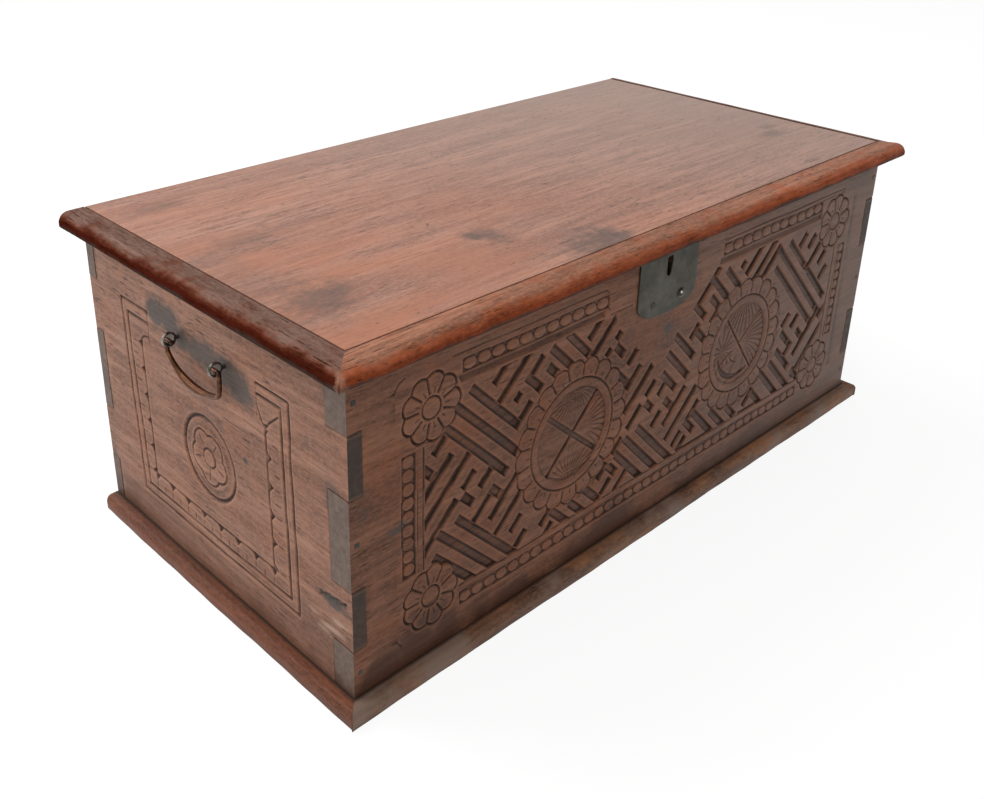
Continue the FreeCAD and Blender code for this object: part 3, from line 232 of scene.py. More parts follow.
# Hubs: each quarter's rays (where they start from, how many), where the hatching starts, and the
# cuts of the cross: straight arms (turn, start, end, half width, depth) and bows (radius, middle,
# half width, first and last angle, depth)
LEFT_HUB = {"fans": ((10, 34), (48, 38), (-60, 20), (48, 30)), "plain": 24, "bows": (),
            "arms": ((math.radians(46), -49, 49, 3.6, 4.3), (math.radians(-41), -49, 49, 3.7, 4.1))}
RIGHT_HUB = {"fans": ((4, 36), (60, 34), (30, 14), (-30, 18)), "plain": 10,
             "bows": ((40, 2, 0, 4.2, 188, 300, 4.4), (26, 6, 2, 1.6, 200, 262, 3.9)),
             "arms": ((math.radians(-53), -49, 49, 2.0, 4.5), (math.radians(38), 0, 49, 1.9, 4.3),
                      (math.radians(205), 12, 40, 1.8, 3.9))}


def front_depth(x, z):
    """How deep the carving goes at a place on the front."""
    x = x + 0.35 * np.sin(z / 31 + x / 83) + 0.2 * np.sin(z / 13 + 2)
    z = z + 0.35 * np.sin(x / 37 + 1) + 0.2 * np.sin(x / 17 + z / 41)
    field = block(x, z, -321, 321, 66, 271)
    clear = -plain_gap(x, z)
    for spots, outline in ((MEDALLIONS, MEDALLION_PETALS), (FLOWERS, FLOWER_PETALS)):
        for mx, mz in spots:
            clear = np.maximum(clear, -petals(x - mx, z - mz, *outline))
    gap = most(fret_gap(x, z) - 0.45, field, clear)
    deep = sunk(gap, 4.0)
    deep = deep + 0.22 * np.exp(-np.clip(gap, 0, 20) / 1.2) * (gap > 0) * (field < 0)
    deep = deep + 0.15 * np.sin(x / 5.1 + z / 3.7) * (gap < -1)
    open_ground = clear < 0
    for edge in ((-400, 400, 66.6, 68.6), (-323.6, -321.6, 104, 232)):
        deep = most(deep, sunk(block(x, z, *edge), 1.8, 0.9) * open_ground * (field < 3))
    for left, right, height, cut in ((-292, -99, 300.5, 1.0), (86, 327, 299.4, 1.1), (-292, 286, 66.8, 1.1),
                                     (86, 327, 295.4, 0.8), (-281, 281, 59.4, 1.6)):
        deep = most(deep, scored(z - height, 2.0, cut) * (block(x, z, left, right, 0, TOP) < 0))
    deep = most(deep, scored(x + 354, 1.9, 1.1) * (block(x, z, -400, 0, 52, 282) < 0),
                scored(x - 353, 3.0, 0.6) * (block(x, z, 0, 400, 60, 285) < 0),
                scored(z - 273, 2.2, 1.2) * (block(x, z, -92, -60, 0, TOP) < 0),
                scored(x + 94.5, 2.0, 1.0) * (block(x, z, -99, -90, 278, 291) < 0))
    for cx, cz, radius, first, last in ((-340, 52, 14, -180, -100), (-338, 284, 16, 105, 165),
                                        (-104, 291, 9.5, 0, 85)):
        angle = np.degrees(np.arctan2(z - cz, x - cx))
        arc = scored(np.hypot(x - cx, z - cz) - radius, 2.0, 1.1)
        deep = most(deep, arc * (angle > first) * (angle < last))
    for left, right in ((-292, -100), (82, 282)):
        cove = block(x, z, left, right, 273, 281)
        deep = most(deep, 2.3 * np.sqrt(np.clip(-cove / 4, 0, 1)) * open_ground)
    for left, right, cut in ((321.4, 323.4, 2.4), (329.2, 331, 1.2), (-330, -328.2, 0.9)):
        deep = most(deep, sunk(block(x, z, left, right, 108, 230), cut, 0.9) * open_ground)
    for left, right in ((44, 101), (154, 191)):
        deep = most(deep, 3.2 * smooth(-block(x, z, left, right, 66, 71.8) / 1.6))
    for string in STRINGS:
        deep = most(deep, beads(x, z, *string) * open_ground)
    for (mx, mz), plan in zip(MEDALLIONS, (LEFT_HUB, RIGHT_HUB)):
        near = np.hypot(x - mx, z - mz) < 79
        deep[near] = most(deep[near] * (gap[near] < 1), medallion(x[near] - mx, z[near] - mz, plan))
    for mx, mz in FLOWERS:
        near = np.hypot(x - mx, z - mz) < 34
        fx, fz = x[near] - mx, z[near] - mz
        far = np.hypot(fx, fz)
        deep[near] = most(deep[near] * (gap[near] < 1),
                          scored(petals(fx, fz, *FLOWER_PETALS) - 0.9, 3.4, 2.8),
                          petal_cuts(fx, fz, 12.5, 30, 9, 1.6) * (far < 31),
                          scored(far - 10.2, 3.0, 2.3), 0.8 * (far / 10) ** 3 * (far < 10))
    deep = np.where(block(x, z, *KEYHOLE_POCKET) < 0, 5.0, deep)
    for hole in NOTCHES:
        deep = most(deep, scored(block(x, z, *hole), 2.6, 0.8))
    return deep + 0.12 * np.sin(x / 47 + 1) * np.sin(z / 39) + 0.12


def grid_lines(low, high, fine_low, fine_high, cell, extra):
    """Places of grid lines: fine square cells in the middle, a few wide ones outside it."""
    first, last = math.ceil(fine_low / cell), math.floor(fine_high / cell)
    fine = [k * cell for k in range(first, last + 1)]
    outside = [spot for spot in [low, high, *extra] if spot < fine[0] - 0.1 or spot > fine[-1] + 0.1]
    return np.array(sorted(set(fine + outside)))


def surveyed(across, up, depth, **patches):
    """How deep the carving is at each grid point, and how hollow, proud or marked it is there."""
    x, z = np.meshgrid(across, up, indexing="ij")
    deep = depth(x, z)
    level = deep
    for reach in (1, 2):
        wide = 2 * reach + 1
        for axis, count in enumerate(deep.shape):
            padded = np.pad(level, [(reach * (k == axis),) * 2 for k in (0, 1)], mode="edge")
            level = sum(padded.take(range(k, k + count), axis) for k in range(wide)) / wide
    # The hollow mark, high where a point lies below its surroundings or deep in a pocket, paints shade into
    # the cuts; the proud mark, high on raised edges, paints them paler.
    hollow = np.maximum((deep - level) / 0.6, (deep - 3.9) * 1.1)
    marks = {"hollow": np.clip(hollow, 0, 1), "proud": np.clip((level - deep) / 0.6, 0, 1),
             "sunk": np.clip(deep / 3.5, 0, 1)}
    for name, spots in patches.items():
        marks[name] = np.zeros(x.shape)
        for cx, cz, wide, high, strength in spots:
            spread = strength * np.exp(-((x - cx) / wide) ** 2 - ((z - cz) / high) ** 2)
            marks[name] = np.maximum(marks[name], spread)
    return deep, marks


def carved_board(name, across, up, deep, marks, thick, holes, placed, snap_from=FAR_AWAY):
    """A board from a grid: its face carved to the depths, its holes cut and its back closed."""
    bm = bmesh.new()
    bmesh.ops.create_grid(bm, x_segments=len(across) - 1, y_segments=len(up) - 1, size=1)
    mesh = bpy.data.meshes.new(name)
    bm.to_mesh(mesh)
    spots = np.empty(len(mesh.vertices) * 3)
    mesh.vertices.foreach_get("co", spots)
    spots = spots.reshape(-1, 3)
    column = np.rint((spots[:, 0] + 1) / 2 * (len(across) - 1)).astype(int)
    row = np.rint((spots[:, 1] + 1) / 2 * (len(up) - 1)).astype(int)
    x, z = across[column], up[row]
    for finger in FINGER_Z:
        z = np.where((np.abs(x) > snap_from) & (np.abs(z - finger) < 0.6), finger, z)
    spots[:, 0], spots[:, 1], spots[:, 2] = x, z, -deep[column, row]
    mesh.vertices.foreach_set("co", spots.ravel())
    for mark, values in marks.items():
        shade = values[column, row].astype(np.float32)
        mesh.attributes.new(mark, "FLOAT", "POINT").data.foreach_set("value", shade)
    bm.clear()
    bm.from_mesh(mesh)
    cut = []
    for face in bm.faces:
        middle = face.calc_center_median()
        if any(left < middle.x < right and low < middle.y < high for left, right, low, high in holes):
            cut.append(face)
    bmesh.ops.delete(bm, geom=cut, context="FACES")
    bmesh.ops.triangulate(bm, faces=bm.faces, quad_method="SHORT_EDGE", ngon_method="BEAUTY")
    for face in bm.faces:
        face.smooth = True
    rim = [edge for edge in bm.edges if edge.is_boundary]
    grown = bmesh.ops.extrude_edge_only(bm, edges=rim)["geom"]
    fresh = [item for item in grown if isinstance(item, bmesh.types.BMVert)]
    for vert in fresh:
        vert.co.z = -thick
        vert.co.y = max(vert.co.y, up[0] + 0.3)
    for edge in rim:
        edge.smooth = False
    back = [item for item in grown if isinstance(item, bmesh.types.BMEdge) and item.is_boundary]
    bmesh.ops.triangle_fill(bm, edges=back, use_beauty=True)
    bmesh.ops.recalc_face_normals(bm, faces=bm.faces)
    for edge in bm.edges:
        corner = len(edge.link_faces) == 2 and edge.calc_face_angle() > math.radians(60)
        if corner and edge.verts[0].co.z < -6:
            edge.smooth = False
    bmesh.ops.transform(bm, matrix=placed @ Matrix.Scale(MM, 4), verts=bm.verts)
    bm.to_mesh(mesh)
    bm.free()
    return mesh


def piece(name, mesh, body, slot, material, *nodes):
    """A finished mesh as one of the chest's pieces."""
    thing = bpy.data.objects.new(name, mesh)
    bpy.context.scene.collection.objects.link(thing)
    mesh.materials.clear()
    mesh.materials.append(material)
    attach(thing, body)
    if nodes:
        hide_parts(*nodes)


def wood_figure():
    """Grain of old hardwood: fine streaks, short dark nicks, broad bands and a fine mottle."""
    group = bpy.data.node_groups.new("wood_figure", "ShaderNodeTree")
    group.interface.new_socket("Place", in_out="INPUT", socket_type="NodeSocketVector")
    nodes, link = group.nodes, group.links.new
    kinds = (("Streaks", (14, 190, 190), 6, 0.62, 0.3), ("Nicks", (62, 620, 620), 3, 0.55, 0.2),
             ("Bands", (2.2, 24, 24), 5, 0.6, 0.9), ("Mottle", (190, 420, 420), 4, 0.7, 0.0))
    for name, *_ in kinds:
        group.interface.new_socket(name, in_out="OUTPUT", socket_type="NodeSocketFloat")
    start, end = nodes.new("NodeGroupInput"), nodes.new("NodeGroupOutput")
    for name, stretch, detail, rough, bend in kinds:
        stretched = nodes.new("ShaderNodeVectorMath")
        stretched.operation = "MULTIPLY"
        stretched.inputs[1].default_value = stretch
        noise = nodes.new("ShaderNodeTexNoise")
        for socket, value in (("Scale", 1.0), ("Detail", detail), ("Roughness", rough), ("Distortion", bend)):
            noise.inputs[socket].default_value = value
        link(start.outputs["Place"], stretched.inputs[0])
        link(stretched.outputs[0], noise.inputs["Vector"])
        link(noise.outputs["Fac"], end.inputs[name])
    return group


FIGURE = wood_figure()


class Finish:
    """A material being made: its nodes, and short ways to add and join them."""

    def __init__(self, name, rough, coat=0.0, metal=0.0, shine=0.5):
        self.material = bpy.data.materials.new(name)
        self.material.use_nodes = True
        self.nodes, self.link = self.material.node_tree.nodes, self.material.node_tree.links.new
        self.shader = self.nodes["Principled BSDF"]
        for socket, value in (("Roughness", rough), ("Coat Weight", coat), ("Metallic", metal),
                              ("Specular IOR Level", shine)):
            self.shader.inputs[socket].default_value = value
        self.place = self.add("TexCoord").outputs["Object"]
        self.x, self.y, self.z = self.add("SeparateXYZ", Vector=self.place).outputs

    def feed(self, socket, value):
        """Give an input another node's output, a number, a vector or a colour."""
        if isinstance(value, bpy.types.NodeSocket):
            self.link(value, socket)
        else:
            socket.default_value = (*value, 1) if socket.type == "RGBA" else value

    def add(self, kind, **inputs):
        """A new node, with some of its inputs fed."""
        node = self.nodes.new("ShaderNode" + kind)
        for name, value in inputs.items():
            self.feed(node.inputs[name], value)
        return node

    def math(self, operation, *values):
        """A Math node on outputs or numbers."""
        node = self.add("Math")
        node.operation = operation
        for socket, value in zip(node.inputs, values):
            self.feed(socket, value)
        return node.outputs[0]

    def plus(self, first, second):
        return self.math("ADD", first, second)

    def minus(self, first, second):
        return self.math("SUBTRACT", first, second)

    def times(self, first, second):
        return self.math("MULTIPLY", first, second)

    def length(self, run, rise):
        """The length of a slanting line from its run and its rise."""
        return self.math("SQRT", self.plus(self.times(run, run), self.times(rise, rise)))

    def span(self, value, low, high, out_low=0.0, out_high=1.0):
        """A range of a value mapped to another."""
        node = self.add("MapRange")
        for socket, number in zip(node.inputs, (value, low, high, out_low, out_high)):
            self.feed(socket, number)
        return node.outputs[0]

    def mix(self, amount, first, second):
        """Two colours mixed by an amount."""
        node = self.add("Mix")
        node.data_type = "RGBA"
        for socket, value in (("Factor", amount), (6, first), (7, second)):
            self.feed(node.inputs[socket], value)
        return node.outputs[2]

    def over(self, base, colour, value, *ends):
        """A colour laid over another as far as a value has come through a range."""
        return self.mix(self.span(value, *ends), base, colour)

    def noise(self, scale, detail=4, rough=0.6, stretch=(1, 1, 1)):
        """A noise value over the piece."""
        spot = self.add("Mapping", Vector=self.place, Scale=stretch).outputs[0]
        node = self.add("TexNoise", Vector=spot, Scale=scale, Detail=detail, Roughness=rough)
        return node.outputs["Fac"]

    def frayed(self, value, low, high, *noise):
        """A value made uneven by a noise, which adds from low to high."""
        return self.plus(value, self.span(self.noise(*noise), 0.3, 0.7, low, high))

    def attribute(self, name):
        """A value stored on the piece's points."""
        node = self.add("Attribute")
        node.attribute_name = name
        return node.outputs["Fac"]

    def facing(self, axis):
        """How squarely the surface faces along an axis, either way."""
        normal = self.add("SeparateXYZ", Vector=self.add("TexCoord").outputs["Normal"])
        return self.math("ABSOLUTE", normal.outputs[axis])

    def figure(self, turn=(0, 0, 0), shift=(0, 0, 0)):
        """The wood's grain, run along X unless turned."""
        spot = self.add("Mapping", Vector=self.place, Rotation=turn, Location=shift).outputs[0]
        node = self.add("Group")
        node.node_tree = FIGURE
        self.link(spot, node.inputs["Place"])
        return node.outputs

    def colour(self, socket):
        self.link(socket, self.shader.inputs["Base Color"])

    def rough(self, socket):
        self.link(socket, self.shader.inputs["Roughness"])

    def bump(self, height, distance, strength):
        """Raise the surface by a height, in metres at full strength."""
        node = self.add("Bump", Height=height, Distance=distance, Strength=strength)
        self.link(node.outputs[0], self.shader.inputs["Normal"])


def darker(colour, share):
    """A colour scaled down."""
    return tuple(part * share for part in colour)


def grained(finish, figure, light, dark, warmth=0.0, nick_edge=0.41):
    """The colour of the wood itself, from its grain; warmth adds orange patches."""
    base = finish.over(dark, light, figure["Bands"], 0.38, 0.60)
    base = finish.over(base, darker(dark, 0.62), figure["Streaks"], 0.36, 0.60, 0.75, 0)
    base = finish.over(base, darker(light, 1.3), figure["Mottle"], 0.45, 0.7, 0, 0.5)
    if warmth:
        warm = (light[0] * 1.15, light[1] * 0.85, light[2] * 0.62)
        base = finish.over(base, warm, finish.noise(24), 0.47, 0.66, 0, warmth)
    nicks = finish.times(finish.span(figure["Nicks"], nick_edge - 0.07, nick_edge, 0.9, 0),
                         finish.span(finish.noise(13, 3), 0.35, 0.6, 0.3, 1))
    return finish.mix(nicks, base, darker(dark, 0.2))


def board_wood(name, light, dark, end_colour, turn=(0, 0, 0), shift=(0, 0, 0), end_axis=0, low_grime_and_shade=None,
               greyer_right=0.0, warmth=0.0, nick_edge=0.41):
    """Oiled and worn hardwood of a board, with darker end grain on the faces across it; hollows get painted
    shade with grime, raised edges a paler colour that is wear and painted highlight.
    """
    finish = Finish(name, 0.52, shine=0.22)
    figure = finish.figure(turn, shift)
    base = grained(finish, figure, light, dark, warmth, nick_edge)
    end_grain = finish.over(darker(end_colour, 0.7), end_colour, figure["Streaks"], 0.35, 0.65)
    base = finish.mix(finish.math("GREATER_THAN", finish.facing(end_axis), 0.75), base, end_grain)
    # Darker towards the bottom: grime, and on the front also painted shade along the joint with the base
    # moulding.
    if low_grime_and_shade:
        base = finish.over(base, darker(dark, 0.5), finish.frayed(finish.z, -0.04, 0.04, 9), *low_grime_and_shade)
    # Paler and greyer towards the right end.
    if greyer_right:
        base = finish.over(base, (0.205, 0.155, 0.134), finish.x, -0.05, 0.38, 0, greyer_right)
    # Painted shade: the deeper the cut, the darker its floor.
    base = finish.mix(finish.times(finish.attribute("sunk"), 0.22), base, darker(dark, 0.4))
    # Raised edges paler: partly rubbed wear, partly painted highlight.
    base = finish.mix(finish.times(finish.attribute("proud"), 0.45), base, darker(light, 1.25))
    # Painted shade, with some grime, in the hollows, at the feet of the cut walls and in deep pockets.
    grime_and_shade = finish.times(finish.attribute("hollow"), finish.span(finish.noise(45), 0.3, 0.7, 0.75, 1.0))
    base = finish.mix(grime_and_shade, base, (0.014, 0.007, 0.005))
    # Dark patches: stains, and on the front also painted shade under the lid moulding.
    stained = finish.frayed(finish.attribute("stain"), -0.25, 0.25, 70, 5, 0.7)
    base = finish.over(base, (0.062, 0.056, 0.050), stained, 0.15, 0.6, 0, 0.85)
    scraped = finish.frayed(finish.attribute("scrape"), -0.3, 0.2, 60, 4, 0.7, (1, 0.3, 1))
    base = finish.over(base, (0.46, 0.32, 0.24), scraped, 0.3, 0.7, 0, 0.65)
    finish.colour(base)
    finish.rough(finish.span(figure["Streaks"], 0.3, 0.7, 0.6, 0.46))
    nicked = finish.span(figure["Nicks"], 0.3, 0.42, 0, 0.6)
    finish.bump(finish.plus(finish.times(figure["Streaks"], 0.6), nicked), 0.0006, 0.6)
    return finish.material


front_wood = board_wood("front_wood", (0.250, 0.110, 0.062), (0.135, 0.056, 0.032), (0.17, 0.118, 0.092),
                        shift=(0.3, 0, 0.1), low_grime_and_shade=(0.017, 0.036, 0.85, 0), greyer_right=0.6, warmth=0.4)
FRONT_PLACE = Matrix.Translation((0, FRONT_Y, 0)) @ Matrix.Rotation(math.radians(90), 4, "X")
# Stains, painted shade and scrapes: their middle, their half width and height, and their strength. The
# patches along the top edge are painted shade and grime under the lid moulding.
FRONT_STAINS_AND_SHADE = (
    (0, 229.5, 6.5, 5.5, 1.0), (45, 274, 9, 5, 0.4), (-385, 320, 60, 8, 0.55),
    (-300, 323, 60, 8, 0.6), (-200, 325, 90, 7, 0.6), (-120, 325, 60, 7, 0.6),
    (80, 325, 90, 6, 0.5), (220, 325, 90, 6, 0.5), (340, 325, 90, 6, 0.5), (-350, 164, 16, 7, 0.55),
    (-388, 196, 9, 14, 0.35), (100, 60, 120, 8, 0.3),
)
FRONT_SCRAPES = ((-330, 158, 3, 4, 0.3),)
# Grid lines of the plain margins at both ends, closer together where the ends' notches begin
EDGE_LINES = (361, 370, 378, 384.8, 386, 387.2, 393)
front_up = grid_lines(0, TOP, 41, 303, CELL, (6, 12, 20, 28, 35, 309.6, 317))
front_across = grid_lines(-400, 400, -353, 353, CELL,
                          [sign * line for sign in (-1, 1) for line in EDGE_LINES])
front_deep, front_marks = surveyed(front_across, front_up, front_depth,
                                   stain=FRONT_STAINS_AND_SHADE, scrape=FRONT_SCRAPES)
seams = (-400, -223.2, 3.6, 227.7, 400)
for k, (low, high) in enumerate(zip(seams, seams[1:])):
    own = (front_across > low - 0.01) & (front_across < high + 0.01)
    own_marks = {mark: values[own] for mark, values in front_marks.items()}
    tile = carved_board(f"front_board_{k}", front_across[own], front_up, front_deep[own], own_marks, THICK,
                        [*NOTCHES, KEYHOLE_CUT], FRONT_PLACE, snap_from=380)
    piece(f"front_board_{k}", tile, "chest", "carcass", front_wood, "front_board")

# End boards: one plank each, let into the front and the back by two fingers. Each has a double
# incised frame, broken under the handle, a row of cut leaves inside it and a ringed flower.

# Knife lines of the ends: their points, then their width and depth
END_LINES = (
    (((-93, 268), (-142, 268), (-135, 56), (128, 56), (127, 267), (82, 267)), 4.5, 2.6),
    (((-93, 256), (-132, 256), (-124, 66), (117, 67), (116, 257), (82, 257)), 4.3, 2.6),
    (((-93.5, 269), (-93.5, 236)), 1.8, 0.9), (((82, 270), (82, 236)), 1.8, 0.9),
    (((-108, 236), (-103, 240), (-94, 242)), 2.6, 2.0),
    (((82, 247), (87, 236), (93, 228), (99, 236), (112, 247)), 2.6, 2.0),
    (((70, 214), (98, 211), (118, 215)), 1.5, 0.5), (((-82, 206), (-60, 208)), 1.5, 0.5),
    (((-190, 176), (-168, 174)), 1.5, 0.5),
)
LEAF_PITCH = 28.6
END_HOLES = [(left, right, low, high) for left, right in ((-203.5, -189), (177, 203.5))
             for low, high in ((-1, FINGER_Z[0]), (FINGER_Z[1], FINGER_Z[2]), (FINGER_Z[3], 326))]


def leaf_row(off, along, start, end, deep):
    """Dark triangular nicks between leaves that touch a knife line; off is away from the line."""
    bend = np.abs(((along - start) / LEAF_PITCH) % 1 - 0.5) * 2
    pocket = np.maximum(off - 8.5 * bend ** 3, -off)
    inside = (along > start - 2) & (along < end + 2)
    tick = np.abs(((along - start) / (LEAF_PITCH / 2)) % 1 - 0.5) * LEAF_PITCH / 2
    ticks = scored(LEAF_PITCH / 4 - tick, 1.9, 1.0) * (off > 9) * (off < 17)
    return most(sunk(pocket, deep, 1.2), scored(off, 2.6, 1.8), ticks) * inside


def end_depth(x, z):
    """How deep the carving goes at a place on an end, the front to the right."""
    x = x + 0.5 * np.sin(z / 29 + 1) + 0.2 * np.sin(z / 9 + x / 40)
    z = z + 0.5 * np.sin(x / 33 + 2) + 0.2 * np.sin(x / 11)
    cuts = [scored(line_gap(x, z, points), wide, cut) for points, wide, cut in END_LINES]
    cuts += [leaf_row(-108 - x, z, 87, 235, 2.2), leaf_row(x - 93, z, 87, 226, 2.4),
             leaf_row(86 - z, x, -108, 93, 1.9)]
    cuts.append(sunk(most(np.abs(x - 92.5) - (z - 226) * 0.55, z - 233), 2.4, 1.5))
    off_x, off_z, turn = x + 3, z - 154, 0.35
    far = np.hypot(off_x, off_z)
    turned_x = math.cos(turn) * off_x - math.sin(turn) * off_z
    turned_z = math.sin(turn) * off_x + math.cos(turn) * off_z
    half_petal = math.pi / 5
    vein = np.abs((np.arctan2(turned_z, turned_x) + half_petal) % (2 * half_petal) - half_petal) * far
    cuts += [scored(far - 41.3, 6.6, 3.4), 0.9 * smooth((far - 29) / 4) * (far < 42),
             scored(petals(turned_x, turned_z, 29, 15, 5), 3.2, 2.2),
             scored(vein, 2.4, 1.3) * (far > 11) * (far < 24),
             scored(far - 9.6, 3.4, 2.4), scored(far - 11, 18, 0.6) * (far > 9.6)]
    bruise = block(x, z, 157, 197, 98 + (x - 157) * 0.15, 107 + (x - 157) * 0.15)
    cuts += [1.8 * smooth(-bruise / 4) * (1 + 0.5 * np.sin(x * 0.9) * np.sin(z * 1.3 + x * 0.2)),
             0.8 * np.exp(-((x - 59) / 3) ** 2 - ((z - 181) / 2.4) ** 2)]
    cuts += [scored(block(x, z, *hole), 2.8, 0.8) for hole in END_HOLES]
    return most(*cuts) + 0.15 * np.sin(x / 41) * np.sin(z / 33 + 1) + 0.15


end_wood = board_wood("end_wood", (0.365, 0.186, 0.122), (0.200, 0.092, 0.058), (0.060, 0.038, 0.029),
                      turn=(0, 0, math.radians(90)), shift=(0.7, 0.4, 0.2), end_axis=1,
                      low_grime_and_shade=(0.012, 0.09, 0.75, 0), warmth=0.22, nick_edge=0.42)
end_up = grid_lines(0, TOP, 50, 292, 1.15, (6, 12, 20, 30, 40, 300, 312))
end_across = grid_lines(-203, 203, -150, 200, 1.15, (-196, -190.2, -189, -187.8, -180, -170, -160))
END_STAINS = (
    (-74, 275, 19, 15, 1.0), (-52, 275, 17, 16, 1.0), (-30, 264, 16, 13, 0.9),
    (-8, 261, 22, 15, 0.85), (14, 261, 22, 16, 0.9), (38, 259, 20, 17, 1.0), (56, 254, 20, 18, 1.0),
    (66, 250, 12, 14, 0.8), (-54, 255, 9, 7, 1.0), (21, 254, 12, 9, 1.0), (177, 102, 20, 6, 0.9),
    (59, 181, 4, 3, 0.8), (190, 306, 16, 22, 0.75), (184, 208, 14, 16, 0.5),
    (-196, 300, 8, 26, 0.5), (190, 255, 5, 3, 0.4), (-200, 60, 10, 30, 0.5), (-3, 196, 40, 6, 0.25),
    (150, 238, 18, 12, 0.25),
)
END_SCRAPES = (
    (150, 77, 14, 3.5, 0.8), (176, 72, 22, 4, 0.9), (184, 84, 14, 3.5, 0.7), (165, 66, 18, 4, 0.6),
    (120, 150, 1.5, 40, 0.35),
)
end_places = {
    "left": Matrix(((0, 0, -1, LEFT_X), (-1, 0, 0, 0), (0, 1, 0, 0), (0, 0, 0, 1))),
    "right": Matrix(((0, 0, 1, RIGHT_X), (1, 0, 0, 0), (0, 1, 0, 0), (0, 0, 0, 1))),
}
for side, place in end_places.items():
    flip = -1 if side == "right" else 1
    lines = (end_across * flip)[::flip]
    holes = [(*sorted((left * flip, right * flip)), low, high) for left, right, low, high in END_HOLES]
    end_deep, end_marks = surveyed(lines * flip, end_up, end_depth, stain=END_STAINS,
                                   scrape=END_SCRAPES if side == "left" else ())
    board = carved_board(f"{side}_end", lines, end_up, end_deep, end_marks, THIN, holes, place, snap_from=160)
    piece(f"{side}_end", board, "chest", "carcass", end_wood, f"{side}_end_board")

# Back board: a thinner plank, planed by hand and left plain, with the same three fingers.


def back_depth(x, z):
    """How deep the plane's marks go at a place on the back."""
    return 0.25 + 0.2 * np.sin(z / 11 + 0.4 * np.sin(x / 90)) + 0.05 * np.sin(x / 23)


back_wood = board_wood("back_wood", (0.30, 0.150, 0.092), (0.180, 0.084, 0.050), (0.17, 0.118, 0.092),
                       shift=(1.3, 0.2, 0.5), low_grime_and_shade=(0.02, 0.12, 0.5, 0))
back_place = Matrix(((-1, 0, 0, 0), (0, 0, 1, BACK_Y), (0, 1, 0, 0), (0, 0, 0, 1)))
back_across = np.array(sorted({-400, -386, 386, 400, *range(-380, 381, 8)}), float)
back_up = np.array(sorted({0, 6, *FINGER_Z, 320, TOP, *range(12, 316, 8)}), float)
back_stains = ((-250, 310, 60, 20, 0.4), (250, 310, 60, 20, 0.4), (60, 40, 160, 18, 0.3))
back_deep, back_marks = surveyed(back_across, back_up, back_depth, stain=back_stains)
back_board = carved_board("back", back_across, back_up, back_deep, back_marks, THIN, NOTCHES,
                          back_place, snap_from=380)
piece("back", back_board, "chest", "carcass", back_wood, "back_board")

# Lid plank: one wide plank, planed and waxed, its grain along the chest. Dark water stains and
# small pits mark it, and a thin dark joint parts it from its mouldings.


def top_depth(x, y):
    """The lid's slight hollows, and the open joint along its edges."""
    edge = -block(x, y, -396, 396, -199, 240)
    deep = 0.28 + 0.2 * np.sin(x / 83 + 1) * np.sin(y / 57) + 0.08 * np.sin(y / 21 + np.sin(x / 120))
    return deep + 1.1 * np.clip(2 - edge / 0.5, 0, 1)


def past_edges(finish, side, front):
    """How far a place is beyond a side edge and beyond the front edge, in metres."""
    return finish.minus(finish.math("ABSOLUTE", finish.x), side), finish.minus(front, finish.y)


def joint_gap(finish):
    """How far a place is from the joint between the lid's plank and its mouldings, in metres."""
    return finish.math("ABSOLUTE", finish.math("MAXIMUM", *past_edges(finish, 0.396, -0.199)))


def water_stain(finish, base, x, y, wide, long, strength):
    """A dark soft-edged patch where something wet stood."""
    off_x = finish.math("DIVIDE", finish.minus(finish.x, x), wide)
    off_y = finish.math("DIVIDE", finish.minus(finish.y, y), long)
    ragged = finish.frayed(finish.length(off_x, off_y), -0.6, 0.6, 60, 5, 0.75)
    on_top = finish.times(finish.span(ragged, 0.3, 1.35, strength, 0), finish.span(finish.z, 0.336, 0.338))
    return finish.mix(on_top, base, (0.082, 0.062, 0.052))


JOINT_DARK = (0.03, 0.015, 0.01)
LID_COAT = 0.12
# Water stains in metres: their middle, their half width and depth, and their strength
LID_STAINS = (
    (-0.352, -0.117, 0.034, 0.030, 0.5), (-0.330, -0.105, 0.022, 0.014, 0.3),
    (-0.159, -0.110, 0.014, 0.022, 0.62), (-0.172, -0.098, 0.008, 0.012, 0.6),
    (-0.095, -0.182, 0.036, 0.028, 0.62), (-0.072, -0.188, 0.020, 0.018, 0.55),
    (-0.345, 0.156, 0.030, 0.010, 0.4), (-0.33, 0.03, 0.034, 0.020, 0.3),
    (0.325, -0.100, 0.026, 0.012, 0.42), (0.350, -0.080, 0.014, 0.008, 0.4),
    (0.272, -0.186, 0.014, 0.006, 0.35), (-0.378, -0.06, 0.030, 0.110, 0.22),
)
lid = Finish("lid_wood", 0.3, coat=LID_COAT, shine=0.4)
lid.shader.inputs["Coat Roughness"].default_value = 0.25
lid_grain = lid.figure(shift=(0.1, 0.6, 0))
lid_colour = grained(lid, lid_grain, (0.50, 0.255, 0.180), (0.32, 0.145, 0.098))
toward_back = lid.plus(lid.x, lid.times(lid.y, 0.9))
orange = lid.times(lid.span(toward_back, -0.45, 0.05, 0.75, 0),
                   lid.span(lid.noise(6, 4, 0.6, (1, 3, 1)), 0.35, 0.6))
lid_colour = lid.mix(orange, lid_colour, (0.50, 0.185, 0.095))
